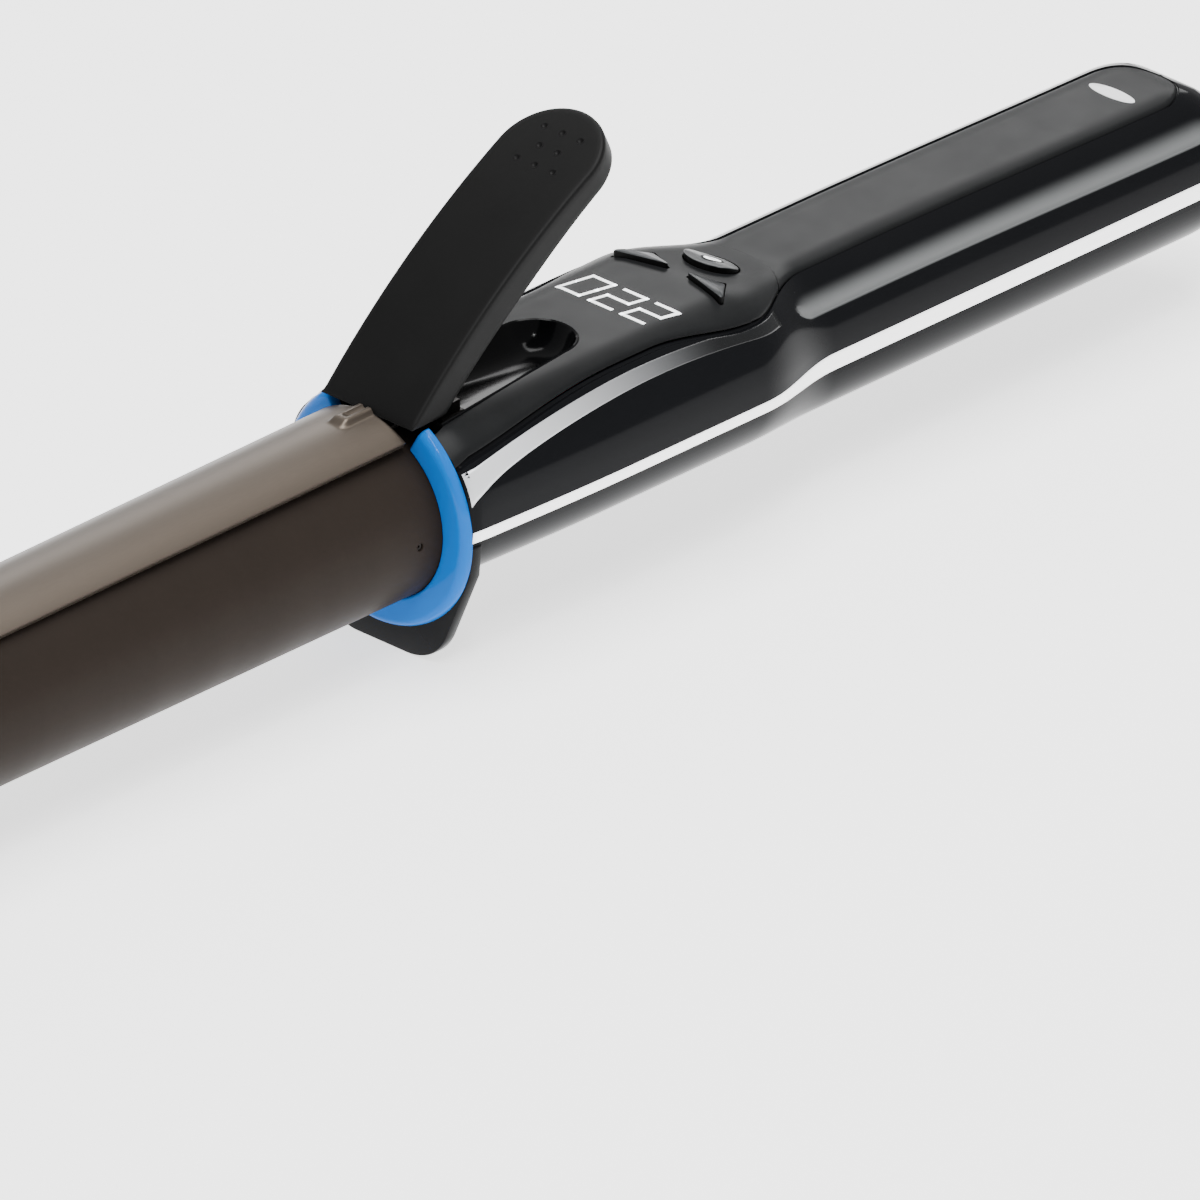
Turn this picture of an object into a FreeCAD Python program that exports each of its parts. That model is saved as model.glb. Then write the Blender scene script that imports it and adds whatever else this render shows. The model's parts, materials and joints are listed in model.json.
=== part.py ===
"""Curling iron with a lever clamp, as a parametric document.

Every sub-part is built about the barrel axis, with x = 0 at the front face of the collar ring,
the barrel towards -X, the handle towards +X and the display side up. One placement, bound to the
sheet, then moves it into the part's own frame: origin under the middle of the whole length, on the
plane that the rest foot stands on.
"""
import FreeCAD, Part
import math
import os
import Sketcher

V = FreeCAD.Vector
doc = FreeCAD.newDocument("curling_iron")

# ---------------------------------------------------------------- driving dimensions (mm)
SIZES = {
    # barrel and cool tip
    "barrel_rad": 16.0, "barrel_wall": 1.2, "barrel_out": 135.0, "barrel_in": 4.4,
    "tip_len": 20.0, "tip_rad": 16.4, "tip_plug": 8.0, "screw_rad": 0.8, "screw_back": 5.0,
    # collar ring and foot plate
    "ring_rad": 21.5, "ring_bore": 16.3, "ring_len": 2.0, "ring_round": 1.6, "ring_gap_deg": 30.0,
    "foot_thick": 2.6, "foot_inset": 2.3, "chin_shoulder": 21.35, "chin_top": 1.0, "chin_cheek": 20.8,
    "chin_cheek_down": 7.0, "chin_base": 12.5, "chin_round": 10.0, "axis_up": 26.1,
    # handle shell
    "body_front": 2.0, "body_end": 197.0, "shell_wall": 2.0,
    "front_half": 22.6, "front_narrow": 1.5, "rise_begin": -16.0, "rise_finish": 39.0,
    "front_top": 17.9, "front_base": 11.0, "front_round": 13.5,
    "rear_half": 17.5, "rear_top": 14.9, "rear_base": 13.6, "rear_round": 12.5,
    "waist_begin": 72.0, "waist_finish": 94.0, "nose_len": 13.0, "end_drop": 1.1,
    "station_step": 9.0,
    # top covers
    "seam_ring": 17.3, "seam_mid": 14.2, "seam_bulge": 17.3, "seam_rear": 9.0,
    "seam_leave": 1.0, "seam_dip": 44.0, "seam_swell": 52.0, "panel_centre": 73.5, "panel_rad": 17.15,
    "cover_end": 192.0, "seam_play": 0.12,
    # bright trims let into the housing's sides
    "trim_deep": 0.6, "trim_play": 0.03, "stripe_front_mid": 0.8, "stripe_front_half": 1.05,
    "stripe_rear_mid": -0.1, "stripe_rear_half": 1.5, "stripe_end": 188.0, "accent_end": 77.0,
    # lever well
    "well_half": 11.3, "well_tail": 7.4, "well_end": 46.5, "well_floor": 12.4,
    "tray_front": 5.0, "tray_open": 16.5, "tray_open_half": 9.6, "tray_thick": 1.4, "notch_low": 12.0,
    # clamp and lever
    "clamp_in": 16.25, "clamp_thick": 1.2, "clamp_half_deg": 33.0, "clamp_len": 130.0,
    "clamp_rear": -2.0, "clamp_lift": 1.6, "clamp_pitch": 0.62,
    "lever_half": 10.7, "lever_wall": 2.0, "lever_base_x": -1.8, "lever_base_up": 18.95,
    "lever_tip_x": 50.4, "lever_tip_up": 56.3, "lever_edge": 4.6,
    # hinge
    "hinge_x": 5.0, "hinge_up": 18.2, "pin_rad": 1.25, "pin_half": 7.6, "pin_play": 0.05,
    "tongue_deg": 41.0, "tongue_thick": 1.2,
    "arm_half": 5.8, "ear_rad": 2.0, "ear_thick": 1.2, "bracket_in": 6.1, "bracket_thick": 1.2,
    "cheek_rad": 2.2, "foot_front": 4.2, "foot_rear": 8.5, "saddle_half": 7.3,
    # keys
    "key_x": 81.8, "key_wide": 5.5, "key_long": 3.6, "key_proud": 0.5, "key_play": 0.25,
    "key_gap": 0.6, "mat_rise": 2.75, "mat_thick": 0.7, "key_cap_front": 60.0,
    "arrow_inner_back": 8.2, "arrow_inner_side": 1.6, "arrow_outer_back": 11.2,
    "arrow_outer_side": 13.6, "arrow_rear_back": 5.4, "arrow_rear_side": 8.4,
    "switch_back": 8.3, "switch_side": 7.9, "switch_half": 2.2,
    # inlay at the end of the grip cover
    "inlay_back": 12.0, "inlay_long": 5.2, "inlay_wide": 1.6, "inlay_proud": 0.25, "inlay_play": 0.02,
    # heater inside the barrel
    "heater_rear": -12.0, "heater_gap": 1.6, "heater_skin": 2.0, "heater_web": 7.0,
    "ceramic_step": 34.0, "ceramic_long": 32.0, "ceramic_half": 6.0, "ceramic_thick": 1.1,
    # board and swivel
    "board_x": 52.0, "board_len": 74.0, "board_half": 12.0, "board_up": 5.0, "board_thick": 1.6,
    "gland_rad": 5.4, "gland_out": 11.0, "cord_rad": 3.2, "gland_play": 0.35,
    "gland_in": 175.0, "collar_disc": 7.4, "slip_ring_thick": 0.6, "slip_ring_wide": 2.6,
    "swivel_front": 100.0, "brush_half": 0.9, "brush_side": 1.5, "brush_long": 3.2,
    # fixings
    "screw_head": 2.4, "screw_shank": 1.2, "post_rad": 2.8, "board_hole_side": 9.0,
}

HOUSING_SCREWS = (30.0, 138.0, 154.0)
RIVETS = (-13.0, -6.5)
LEVER_SCREWS = (9.0, 16.0)
# side outline of the silver crescent: its two ends' heights, and (station, height) between them
ACCENT_ENDS_OVER = (11.9, 13.7)
ACCENT_ENDS_UNDER = (6.8, 12.1)
ACCENT_OVER = ((42.0, 15.5),)
ACCENT_UNDER = ((6.0, 9.0), (15.0, 10.7), (42.0, 13.7))


def make_sheet():
    """Write the driving dimensions, with their aliases, into one spreadsheet."""
    sheet = doc.addObject("Spreadsheet::Sheet", "dims")
    for row, (name, value) in enumerate(SIZES.items(), start=1):
        sheet.set(f"A{row}", name)
        sheet.set(f"B{row}", str(value))
        sheet.setAlias(f"B{row}", name)
    doc.recompute()
    return sheet


dims = make_sheet()


def size(text):
    """Value of an expression over the sheet's aliases, such as 'ring_rad - 2'."""
    return float(dims.evalExpression(bind(text)))


def bind(text):
    """The same expression with each alias written as dims.alias."""
    words = []
    word = ""
    for char in str(text) + " ":
        if char.isalnum() or char == "_":
            word += char
            continue
        words.append("dims." + word if word in SIZES else word)
        words.append(char)
        word = ""
    return "".join(words).strip()


SHIFT_X = "(barrel_out + tip_len - body_end - gland_out) / 2"


def place(obj):
    """Move a sub-part from the barrel's own axes into the part's frame."""
    obj.setExpression("Placement.Base.x", bind(SHIFT_X))
    obj.setExpression("Placement.Base.z", bind("axis_up"))


PARTS = []


def keep(obj, label):
    """Name a finished sub-part, place it and list it for export."""
    obj.Label = label
    place(obj)
    PARTS.append(obj)
    return obj


# ---------------------------------------------------------------- PartDesign helpers
def new_body(label):
    """An empty body, already named and placed."""
    body = doc.addObject("PartDesign::Body", label)
    return keep(body, label)


def plane(body, role):
    """One of a body's own origin planes."""
    return [f for f in body.Origin.OriginFeatures if f.Role == role][0]


def new_sketch(body, role, up="0"):
    """A sketch on one of the body's origin planes, raised along its normal."""
    count = len([o for o in body.Group if o.isDerivedFrom("Sketcher::SketchObject")])
    sketch = body.newObject("Sketcher::SketchObject", f"{body.Name}_sketch{count}")
    sketch.AttachmentSupport = (plane(body, role), [""])
    sketch.MapMode = "FlatFace"
    sketch.setExpression("AttachmentOffset.Base.z", bind(up))
    return sketch


def pin_point(sketch, edge, end, x, y):
    """Hold one end of an edge at a place given by two expressions."""
    for kind, text in (("DistanceX", x), ("DistanceY", y)):
        index = sketch.addConstraint(Sketcher.Constraint(kind, -1, 1, edge, end, size(text)))
        sketch.setExpression(f"Constraints[{index}]", bind(text))


def draw_outline(sketch, points):
    """A closed outline of straight edges through points given as pairs of expressions."""
    spots = [V(size(x), size(y), 0) for x, y in points]
    first = sketch.GeometryCount
    total = len(spots)
    for i in range(total):
        sketch.addGeometry(Part.LineSegment(spots[i], spots[(i + 1) % total]), False)
    for i in range(total):
        after = first + (i + 1) % total
        sketch.addConstraint(Sketcher.Constraint("Coincident", first + i, 2, after, 1))
    for i, (x, y) in enumerate(points):
        pin_point(sketch, first + i, 1, x, y)


def draw_circle(sketch, radius, x="0", y="0"):
    """A circle whose radius and centre follow the sheet."""
    circle = Part.Circle(V(size(x), size(y), 0), V(0, 0, 1), size(radius))
    edge = sketch.addGeometry(circle, False)
    index = sketch.addConstraint(Sketcher.Constraint("Radius", edge, size(radius)))
    sketch.setExpression(f"Constraints[{index}]", bind(radius))
    pin_point(sketch, edge, 3, x, y)


def revolve(body, points):
    """Turn a closed profile of (x, radius) pairs about the barrel axis."""
    sketch = new_sketch(body, "XZ_Plane")
    draw_outline(sketch, points)
    turned = body.newObject("PartDesign::Revolution", f"{body.Name}_turn")
    turned.Profile = sketch
    turned.ReferenceAxis = (sketch, ["H_Axis"])
    turned.Angle = 360.0
    body.Tip = turned
    return turned


def extrude(body, sketch, length, cut=False, middle=False, back=False):
    """Pad or pocket a sketch by a length from the sheet."""
    kind = "PartDesign::Pocket" if cut else "PartDesign::Pad"
    count = len([o for o in body.Group if o.isDerivedFrom("PartDesign::Feature")])
    feature = body.newObject(kind, f"{body.Name}_step{count}")
    feature.Profile = sketch
    feature.Type = 0
    feature.setExpression("Length", bind(length))
    feature.Midplane = middle
    feature.Reversed = back
    body.Tip = feature
    return feature


def pad_outline(label, role, points, length, up="0", middle=False, back=False, holes=()):
    """A body padded from one straight-sided outline with round holes."""
    body = new_body(label)
    sketch = new_sketch(body, role, up)
    draw_outline(sketch, points)
    for radius, x, y in holes:
        draw_circle(sketch, radius, x, y)
    extrude(body, sketch, length, middle=middle, back=back)
    return body


def rectangle(x0, x1, y0, y1):
    """Corner expressions of a rectangle."""
    return [(x0, y0), (x1, y0), (x1, y1), (x0, y1)]


def block(label, x0, x1, y0, y1, z0, z1):
    """A box-shaped body between six places given as expressions."""
    return pad_outline(label, "XY_Plane", rectangle(x0, x1, y0, y1), f"({z1}) - ({z0})", up=z0)


def round_edges(body, radius, wanted):
    """Fillet the edges of the last feature that a test picks out."""
    doc.recompute()
    tip = body.Tip
    picked = [f"Edge{i}" for i, edge in enumerate(tip.Shape.Edges, start=1) if wanted(edge)]
    fillet = body.newObject("PartDesign::Fillet", f"{body.Name}_round")
    fillet.Base = (tip, picked)
    fillet.setExpression("Radius", bind(radius))
    body.Tip = fillet
    return fillet


# ---------------------------------------------------------------- Part helpers
def shape_part(label, shape):
    """A sub-part whose shape is set directly, placed after its shape."""
    feature = doc.addObject("Part::Feature", label)
    feature.Shape = shape
    return keep(feature, label)


def rod(x, y, z, radius, length, axis):
    """A plain cylinder solid from a point along an axis."""
    return Part.makeCylinder(radius, length, V(x, y, z), axis)


def box(x0, x1, y0, y1, z0, z1):
    """A plain box solid between two corners."""
    return Part.makeBox(x1 - x0, y1 - y0, z1 - z0, V(x0, y0, z0))


# ---------------------------------------------------------------- barrel
def make_barrel():
    """Tube, cool tip and the set screw that holds the tube on its holder."""
    tube = new_body("barrel_tube")
    revolve(tube, [("-barrel_out", "barrel_rad - barrel_wall"), ("barrel_in", "barrel_rad - barrel_wall"),
                   ("barrel_in", "barrel_rad"), ("-barrel_out", "barrel_rad")])
    hole = new_sketch(tube, "XZ_Plane")
    draw_circle(hole, "screw_rad + 0.05", "-screw_back", "0")
    extrude(tube, hole, "barrel_rad * 2", cut=True, back=True)

    tip = new_body("barrel_tip")
    plug = "barrel_rad - barrel_wall - 0.1"
    revolve(tip, [("-barrel_out + tip_plug", "4"), ("-barrel_out + tip_plug", plug),
                  ("-barrel_out - 0.1", plug), ("-barrel_out - 0.1", "tip_rad"),
                  ("-barrel_out - tip_len", "tip_rad"), ("-barrel_out - tip_len", "0"),
                  ("-barrel_out - tip_len + 3", "0"), ("-barrel_out - tip_len + 3", "4")])
    front = -size("barrel_out + tip_len")
    round_edges(tip, "7", lambda e: abs(e.BoundBox.XMax - front) < 0.01)

    screw = new_body("barrel_screw")
    stub = new_sketch(screw, "XZ_Plane", "barrel_rad - 3")
    draw_circle(stub, "screw_rad", "-screw_back", "0")
    extrude(screw, stub, "2.9")

    holder = new_body("barrel_holder")
    bore = "barrel_rad - barrel_wall - 0.1"
    revolve(holder, [("-9", "6"), ("hinge_x + 10", "6"), ("hinge_x + 10", "8.5"),
                     ("barrel_in + 0.1", "8.5"), ("barrel_in + 0.1", bore), ("-9", bore)])
    saddle = new_sketch(holder, "XY_Plane", "8")
    draw_outline(saddle, rectangle("hinge_x + foot_front", "hinge_x + 9.5", "-saddle_half", "saddle_half"))
    extrude(holder, saddle, "barrel_rad - 8")
    hole = new_sketch(holder, "XZ_Plane")
    draw_circle(hole, "screw_rad", "-screw_back", "0")
    extrude(holder, hole, "barrel_rad * 2", cut=True, back=True)


def make_heater():
    """Two heater clamp halves, the ceramic plates between them, and what senses the heat."""
    inner = size("barrel_rad - barrel_wall - 0.15")
    front = -size("barrel_out - tip_plug - 4")
    rear = size("heater_rear")
    gap = size("heater_gap")
    web_half = size("heater_web")
    whole = rod(front, 0, 0, inner, rear - front, V(1, 0, 0))
    hollow = rod(front, 0, 0, inner - size("heater_skin"), rear - front, V(1, 0, 0))
    web = box(front, rear, -web_half, web_half, -gap - 3, gap + 3)
    core = whole.cut(hollow).fuse(web.common(whole))
    ribs = box(front, rear, -1, 1, -inner, inner).common(whole)
    core = core.fuse(ribs)
    for label, low, high in (("heater_clamp_upper", gap, inner), ("heater_clamp_lower", -inner, -gap)):
        shell = core.common(box(front, rear, -inner, inner, low, high)).removeSplitter()
        shape_part(label, shell)
    half = size("ceramic_half")
    thin = size("ceramic_thick")
    plates = []
    for i in range(3):
        begin = front + 6 + size("ceramic_step") * i
        plates.append(box(begin, begin + size("ceramic_long"), -half, half, -thin, thin))
    shape_part("ceramic_heaters", Part.makeCompound(plates))
    sheets = [box(front + 2, rear - 1, -6.6, 6.6, z, z + 0.2) for z in (-1.4, 1.2)]
    shape_part("heater_insulation", Part.makeCompound(sheets))
    sensor = rod(rear - 14, 8.5, 0, 1.2, 9, V(1, 0, 0))
    shape_part("temperature_sensor", sensor)
    fuse = rod(rear - 16, -9, 0, 1.6, 11, V(1, 0, 0))
    shape_part("thermal_fuse", fuse)


# ---------------------------------------------------------------- collar
def foot_chin(start, thick, play):
    """The part of the foot plate that hangs below the handle, widened by a play."""
    low = -size("axis_up") - play
    base = size("chin_base") + play
    side = [V(start, size("chin_shoulder") + play, -size("chin_top") + play),
            V(start, size("chin_cheek") + play, -size("chin_cheek_down")), V(start, base, low)]
    far = [V(p.x, -p.y, p.z) for p in reversed(side)]
    solid = Part.Face(Part.makePolygon(side + far + side[:1])).extrude(V(thick, 0, 0))
    corners = [e for e in solid.Edges if e.BoundBox.XLength > thick - 0.01 and e.BoundBox.ZMax < low + 0.01]
    return solid.makeFillet(size("chin_round"), corners)


def make_collar():
    """Rounded collar ring, open at the top for the lever, and the plate with its rest foot."""
    ring = new_body("collar_ring")
    revolve(ring, [("0", "ring_bore"), ("ring_len", "ring_bore"), ("ring_len", "ring_rad"),
                   ("0", "ring_rad")])
    round_edges(ring, "ring_round", lambda e: e.BoundBox.XLength < 0.01 and e.BoundBox.XMin < 0.01)
    wedge = new_sketch(ring, "YZ_Plane")
    reach = "ring_rad * 1.3"
    side = f"{reach} * tan(ring_gap_deg)"
    draw_outline(wedge, [("0", "0"), (side, reach), (f"-{side}", reach)])
    extrude(ring, wedge, "ring_len * 4", cut=True, middle=True)

    start = size("ring_len")
    thick = size("foot_thick")
    upper = Part.Face(section_wire(start, size("foot_inset"))).extrude(V(thick, 0, 0))
    plate = upper.fuse(foot_chin(start, thick, 0.0)).removeSplitter()
    plate = plate.cut(rod(start, 0, 0, size("ring_bore"), thick, V(1, 0, 0)))
    notch = size("well_half")
    plate = plate.cut(box(start, start + thick, -notch, notch, size("notch_low"), size("ring_rad")))
    shape_part("collar_foot", plate)


# ---------------------------------------------------------------- handle shell
def ease(value, low, high):
    """Smooth step from 0 at low to 1 at high."""
    part = min(max((value - low) / (high - low), 0.0), 1.0)
    return part * part * (3 - 2 * part)


def section_sizes(x):
    """Half width, bottom, top and corner radius of the handle at a station."""
    turn = ease(x, size("waist_begin"), size("waist_finish"))
    rise = ease(x, size("rise_begin"), size("rise_finish"))
    half = size("front_half") - size("front_narrow") * (1 - rise)
    half += (size("rear_half") - half) * turn
    top = size("front_top") + (size("rear_top") - size("front_top")) * turn
    top -= size("end_drop") * ease(x, 110.0, size("body_end"))
    base = -size("front_base") + (size("front_base") - size("rear_base")) * turn
    corner = size("front_round") + (size("rear_round") - size("front_round")) * turn
    return half, base, top, corner


def section_wire(x, inset):
    """Rounded rectangle across the handle, pulled in by an inset."""
    half, base, top, corner = section_sizes(min(x, size("body_end - nose_len")))
    begin = size("body_end - nose_len")
    if x > begin:
        part = min((x - begin) / (size("nose_len") * 1.03), 1.0)
        shrink = (1 - math.sqrt(1 - part ** 3)) * 8.0
        inset = inset + shrink
    half -= inset
    base += inset
    top -= inset
    radius = max(corner - inset, 1.0)
    radius = min(radius, half - 0.5, (top - base) / 2 - 0.2)
    diag = radius * math.sqrt(0.5)
    edges = []
    spots = [(1, 1), (-1, 1), (-1, -1), (1, -1)]
    centres = [(s * (half - radius), (top if t > 0 else base) - t * radius) for s, t in spots]
    for i, ((cy, cz), (s, t)) in enumerate(zip(centres, spots)):
        side = V(x, cy + s * radius, cz)
        over = V(x, cy, cz + t * radius)
        mid = V(x, cy + s * diag, cz + t * diag)
        ends = (side, over) if i % 2 == 0 else (over, side)
        edges.append(Part.Arc(ends[0], mid, ends[1]).toShape())
        ny, nz = centres[(i + 1) % 4]
        ns, nt = spots[(i + 1) % 4]
        after = V(x, ny, nz + nt * radius) if i % 2 == 0 else V(x, ny + ns * radius, nz)
        edges.append(Part.LineSegment(ends[1], after).toShape())
    return Part.Wire(edges)


def handle_solid(inset, front, rear):
    """Solid loft of the handle between two stations, pulled in by an inset."""
    nose = size("body_end - nose_len")
    count = round((nose - front) / size("station_step"))
    stations = [front + (nose - front) * i / count for i in range(count + 1)]
    stations += [nose + (rear - nose) * k for k in (0.3, 0.55, 0.75, 0.9, 1.0)]
    return Part.makeLoft([section_wire(x, inset) for x in stations], True, False)


def seam_half(x):
    """Half width of the top covers at a station."""
    bulge_at = size("panel_centre")
    if x < bulge_at:
        dip = ease(x, size("seam_leave"), size("seam_dip"))
        half = size("seam_ring") + (size("seam_mid") - size("seam_ring")) * dip
        return half + (size("seam_bulge") - half) * ease(x, size("seam_swell"), bulge_at)
    narrow = ease(x, bulge_at, size("waist_finish"))
    return size("seam_bulge") + (size("seam_rear") - size("seam_bulge")) * narrow


def seam_prism(play):
    """Upright prism over the top covers' outline, widened by a play."""
    front = size("body_front") - 2
    straight = size("waist_finish")
    swell = size("panel_centre")
    stations = [front + (swell - front) * i / 7 for i in range(7)]
    stations += [swell + (straight - swell) * i / 4 for i in range(5)]
    stations.append(straight + 8)
    near = [V(x, -seam_half(x) - play, 0) for x in stations]
    far = [V(p.x, -p.y, 0) for p in reversed(near)]
    side = Part.BSplineCurve()
    side.interpolate(near)
    back = Part.BSplineCurve()
    back.interpolate(far)
    half = size("seam_rear") + play
    end = size("cover_end") + play
    turn = end - half
    edges = [side.toShape(), Part.LineSegment(near[-1], V(turn, -half, 0)).toShape(),
             Part.Arc(V(turn, -half, 0), V(end, 0, 0), V(turn, half, 0)).toShape(),
             Part.LineSegment(V(turn, half, 0), far[0]).toShape(), back.toShape(),
             Part.LineSegment(far[-1], near[0]).toShape()]
    return Part.Face(Part.Wire(edges)).extrude(V(0, 0, 40))


def well_prism(play, low, high):
    """Upright prism over the lever well's tongue-shaped outline."""
    wide = size("well_half") + play
    tail = size("well_tail") + play
    end = size("well_end") + play
    bend = end - tail
    front = size("body_front") - 3
    edges = [Part.LineSegment(V(front, wide, low), V(front, -wide, low)).toShape(),
             Part.LineSegment(V(front, -wide, low), V(bend, -tail, low)).toShape(),
             Part.Arc(V(bend, -tail, low), V(end, 0, low), V(bend, tail, low)).toShape(),
             Part.LineSegment(V(bend, tail, low), V(front, wide, low)).toShape()]
    return Part.Face(Part.Wire(edges)).extrude(V(0, 0, high - low))


def key_prism(name, play, low, high):
    """Upright prism over one key's outline: power, plus or minus."""
    middle = size("key_x")
    if name == "power":
        wide = size("key_wide") + play
        long = size("key_long") + play
        ellipse = Part.Ellipse(V(middle, 0, low), wide, long)
        face = Part.Face(Part.Wire([ellipse.toShape()]))
        face.rotate(V(middle, 0, low), V(0, 0, 1), 90)
        return face.extrude(V(0, 0, high - low))
    side = 1 if name == "plus" else -1
    inner = V(middle - size("arrow_inner_back"), side * size("arrow_inner_side"), low)
    outer = V(middle - size("arrow_outer_back"), side * size("arrow_outer_side"), low)
    rear = V(middle - size("arrow_rear_back"), side * size("arrow_rear_side"), low)
    wire = Part.makePolygon([inner, outer, rear, inner])
    if play > 0:
        wire = wire.makeOffset2D(play)
    return Part.Face(wire).extrude(V(0, 0, high - low))


def side_prism(edges):
    """Prism across the whole handle over a side outline."""
    face = Part.Face(Part.Wire(edges))
    face.translate(V(0, -30, 0))
    return face.extrude(V(0, 60, 0))


def stripe_prism(play):
    """Narrow band along the sides that widens and drops where the handle narrows."""
    start = size("body_front") + 0.3 - play
    end = size("stripe_end") + play
    begin = size("waist_begin")
    finish = size("waist_finish")
    rows = []
    for sign in (1, -1):
        row = []
        for i in range(9):
            x = begin + (finish - begin) * i / 8
            turn = ease(x, begin, finish)
            mid = size("stripe_front_mid") + size("stripe_rear_mid - stripe_front_mid") * turn
            half = size("stripe_front_half") + size("stripe_rear_half - stripe_front_half") * turn
            row.append(V(x, 0, mid + sign * (half + play)))
        rows.append(row)
    over, under = rows
    curves = []
    for row in (over, under):
        spline = Part.BSplineCurve()
        spline.interpolate(Points=row, InitialTangent=V(1, 0, 0), FinalTangent=V(1, 0, 0))
        curves.append(spline.toShape())
    corner = [V(start, 0, over[0].z), V(end, 0, over[-1].z), V(end, 0, under[-1].z), V(start, 0, under[0].z)]
    return side_prism([Part.LineSegment(corner[0], over[0]).toShape(), curves[0],
                       Part.LineSegment(over[-1], corner[1]).toShape(),
                       Part.LineSegment(corner[1], corner[2]).toShape(),
                       Part.LineSegment(corner[2], under[-1]).toShape(), curves[1],
                       Part.LineSegment(under[0], corner[3]).toShape(),
                       Part.LineSegment(corner[3], corner[0]).toShape()])


def accent_prism(play):
    """Crescent on the front body between the top cover's edge and the side."""
    start = size("body_front") + 0.3 - play
    end = size("accent_end") + play
    over = [V(start, 0, ACCENT_ENDS_OVER[0] + play)]
    over += [V(x, 0, up + play) for x, up in ACCENT_OVER]
    over.append(V(end, 0, ACCENT_ENDS_OVER[1] + play))
    under = [V(start, 0, ACCENT_ENDS_UNDER[0] - play)]
    under += [V(x, 0, up - play) for x, up in ACCENT_UNDER]
    under.append(V(end, 0, ACCENT_ENDS_UNDER[1] - play))
    low = Part.BSplineCurve()
    low.interpolate(under)
    return side_prism([Part.Arc(*over).toShape(), Part.LineSegment(over[-1], under[-1]).toShape(),
                       low.toShape(), Part.LineSegment(under[0], over[0]).toShape()])


def outside_seam():
    """Everything beside the top covers' strip, where the trims may lie."""
    return box(0, 200, -30, 30, -20, 30).cut(seam_prism(1.2)).cut(box(0, 200, -8, 8, -20, 30))


def trim_recess(outer):
    """Shallow pockets in the housing that the trims lie in."""
    play = size("trim_play")
    front = size("body_front")
    end = size("body_end")
    deep = outer.cut(handle_solid(size("trim_deep") + play, front - 0.5, end - 0.6))
    zone = stripe_prism(play).fuse(accent_prism(play)).common(outside_seam())
    return deep.common(zone)


def make_trims(outer):
    """White stripes and silver crescents, one of each on both sides."""
    deep = outer.cut(handle_solid(size("trim_deep"), size("body_front") - 0.5, size("body_end") - 0.6))
    beside = outside_seam()
    for label, prism in (("side_stripes", stripe_prism(0.0)), ("side_accents", accent_prism(0.0))):
        trim = deep.common(prism).common(beside)
        solids = sorted(trim.Solids, key=lambda solid: -solid.Volume)[:2]
        shape_part(label, Part.makeCompound(solids))


def make_handle():
    """Lower housing, control panel, grip cover and lever well."""
    front = size("body_front")
    end = size("body_end")
    wall = size("shell_wall")
    outer = handle_solid(0.0, front, end)
    inner = handle_solid(wall, front - 1.0, end - wall)
    shell = outer.cut(inner)
    strip = seam_prism(0.0)
    wide_strip = seam_prism(size("seam_play"))
    gland_hole = rod(end - 12, 0, 0, size("gland_rad + gland_play"), 20, V(1, 0, 0))
    lower = sink_screws(shell.cut(wide_strip).cut(gland_hole)).cut(trim_recess(outer))
    play = size("seam_play")
    lower = lower.cut(foot_chin(front - 1, size("foot_thick") + 1 + play, play))
    for post in board_posts(inner.fuse(shell)):
        lower = lower.fuse(post)
    shape_part("lower_housing", lower.removeSplitter())
    make_trims(outer)

    disc_at = size("panel_centre")
    disc = rod(disc_at, 0, 0, size("panel_rad"), 40, V(0, 0, 1))
    ahead = box(front - 3, disc_at, -30, 30, 0, 40)
    panel_zone = disc.fuse(ahead)
    panel = shell.common(strip).common(panel_zone)
    panel = panel.cut(well_prism(0.0, -5, 40))
    for name in ("power", "plus", "minus"):
        panel = panel.cut(key_prism(name, size("key_play"), -5, 40))
    shape_part("control_panel", panel.removeSplitter())

    wide_disc = rod(disc_at, 0, 0, size("panel_rad") + play, 40, V(0, 0, 1))
    cover = shell.common(strip).cut(wide_disc.fuse(box(front - 3, disc_at, -30, 30, 0, 40)))
    cover = max(cover.Solids, key=lambda solid: solid.Volume)
    for x in HOUSING_SCREWS[1:]:
        cover = cover.fuse(screw_post(x, section_sizes(x)[2] - size("shell_wall") / 2))
    shape_part("grip_cover", cover.removeSplitter())

    floor = size("well_floor")
    thick = size("tray_thick")
    tray = well_prism(-0.1, floor - thick, 30).common(outer)
    tray = tray.cut(well_prism(-0.1 - thick, floor, 40))
    beside = size("tray_open_half")
    tray = tray.cut(box(front - 4, size("tray_open"), -beside, beside, floor - thick - 1, 40))
    tray = tray.cut(box(front - 4, size("tray_front"), -30, 30, 0, 40))
    tray = tray.fuse(screw_post(HOUSING_SCREWS[0], floor - thick / 2))
    shape_part("lever_well", tray.removeSplitter())


def make_inlay():
    """Blank oval inlay let into the end of the grip cover."""
    at = size("cover_end - inlay_back")
    front = size("body_front")
    end = size("body_end")
    skin = handle_solid(-size("inlay_proud"), front, end).cut(handle_solid(-size("inlay_play"), front, end))
    oval = Part.Ellipse(V(0, 0, 0), size("inlay_long"), size("inlay_wide"))
    prism = Part.Face(Part.Wire([oval.toShape()])).extrude(V(0, 0, 40))
    prism.rotate(V(0, 0, 0), V(0, 0, 1), 90)
    prism.translate(V(at, 0, 0))
    shape_part("end_inlay", prism.common(skin).removeSplitter())


# ---------------------------------------------------------------- clamp and lever
def tongue_foot():
    """Lower corner of the tongue that reaches into the lever."""
    return V(size("hinge_x") - 2.0, 0, size("hinge_up") + 1.23)


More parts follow.
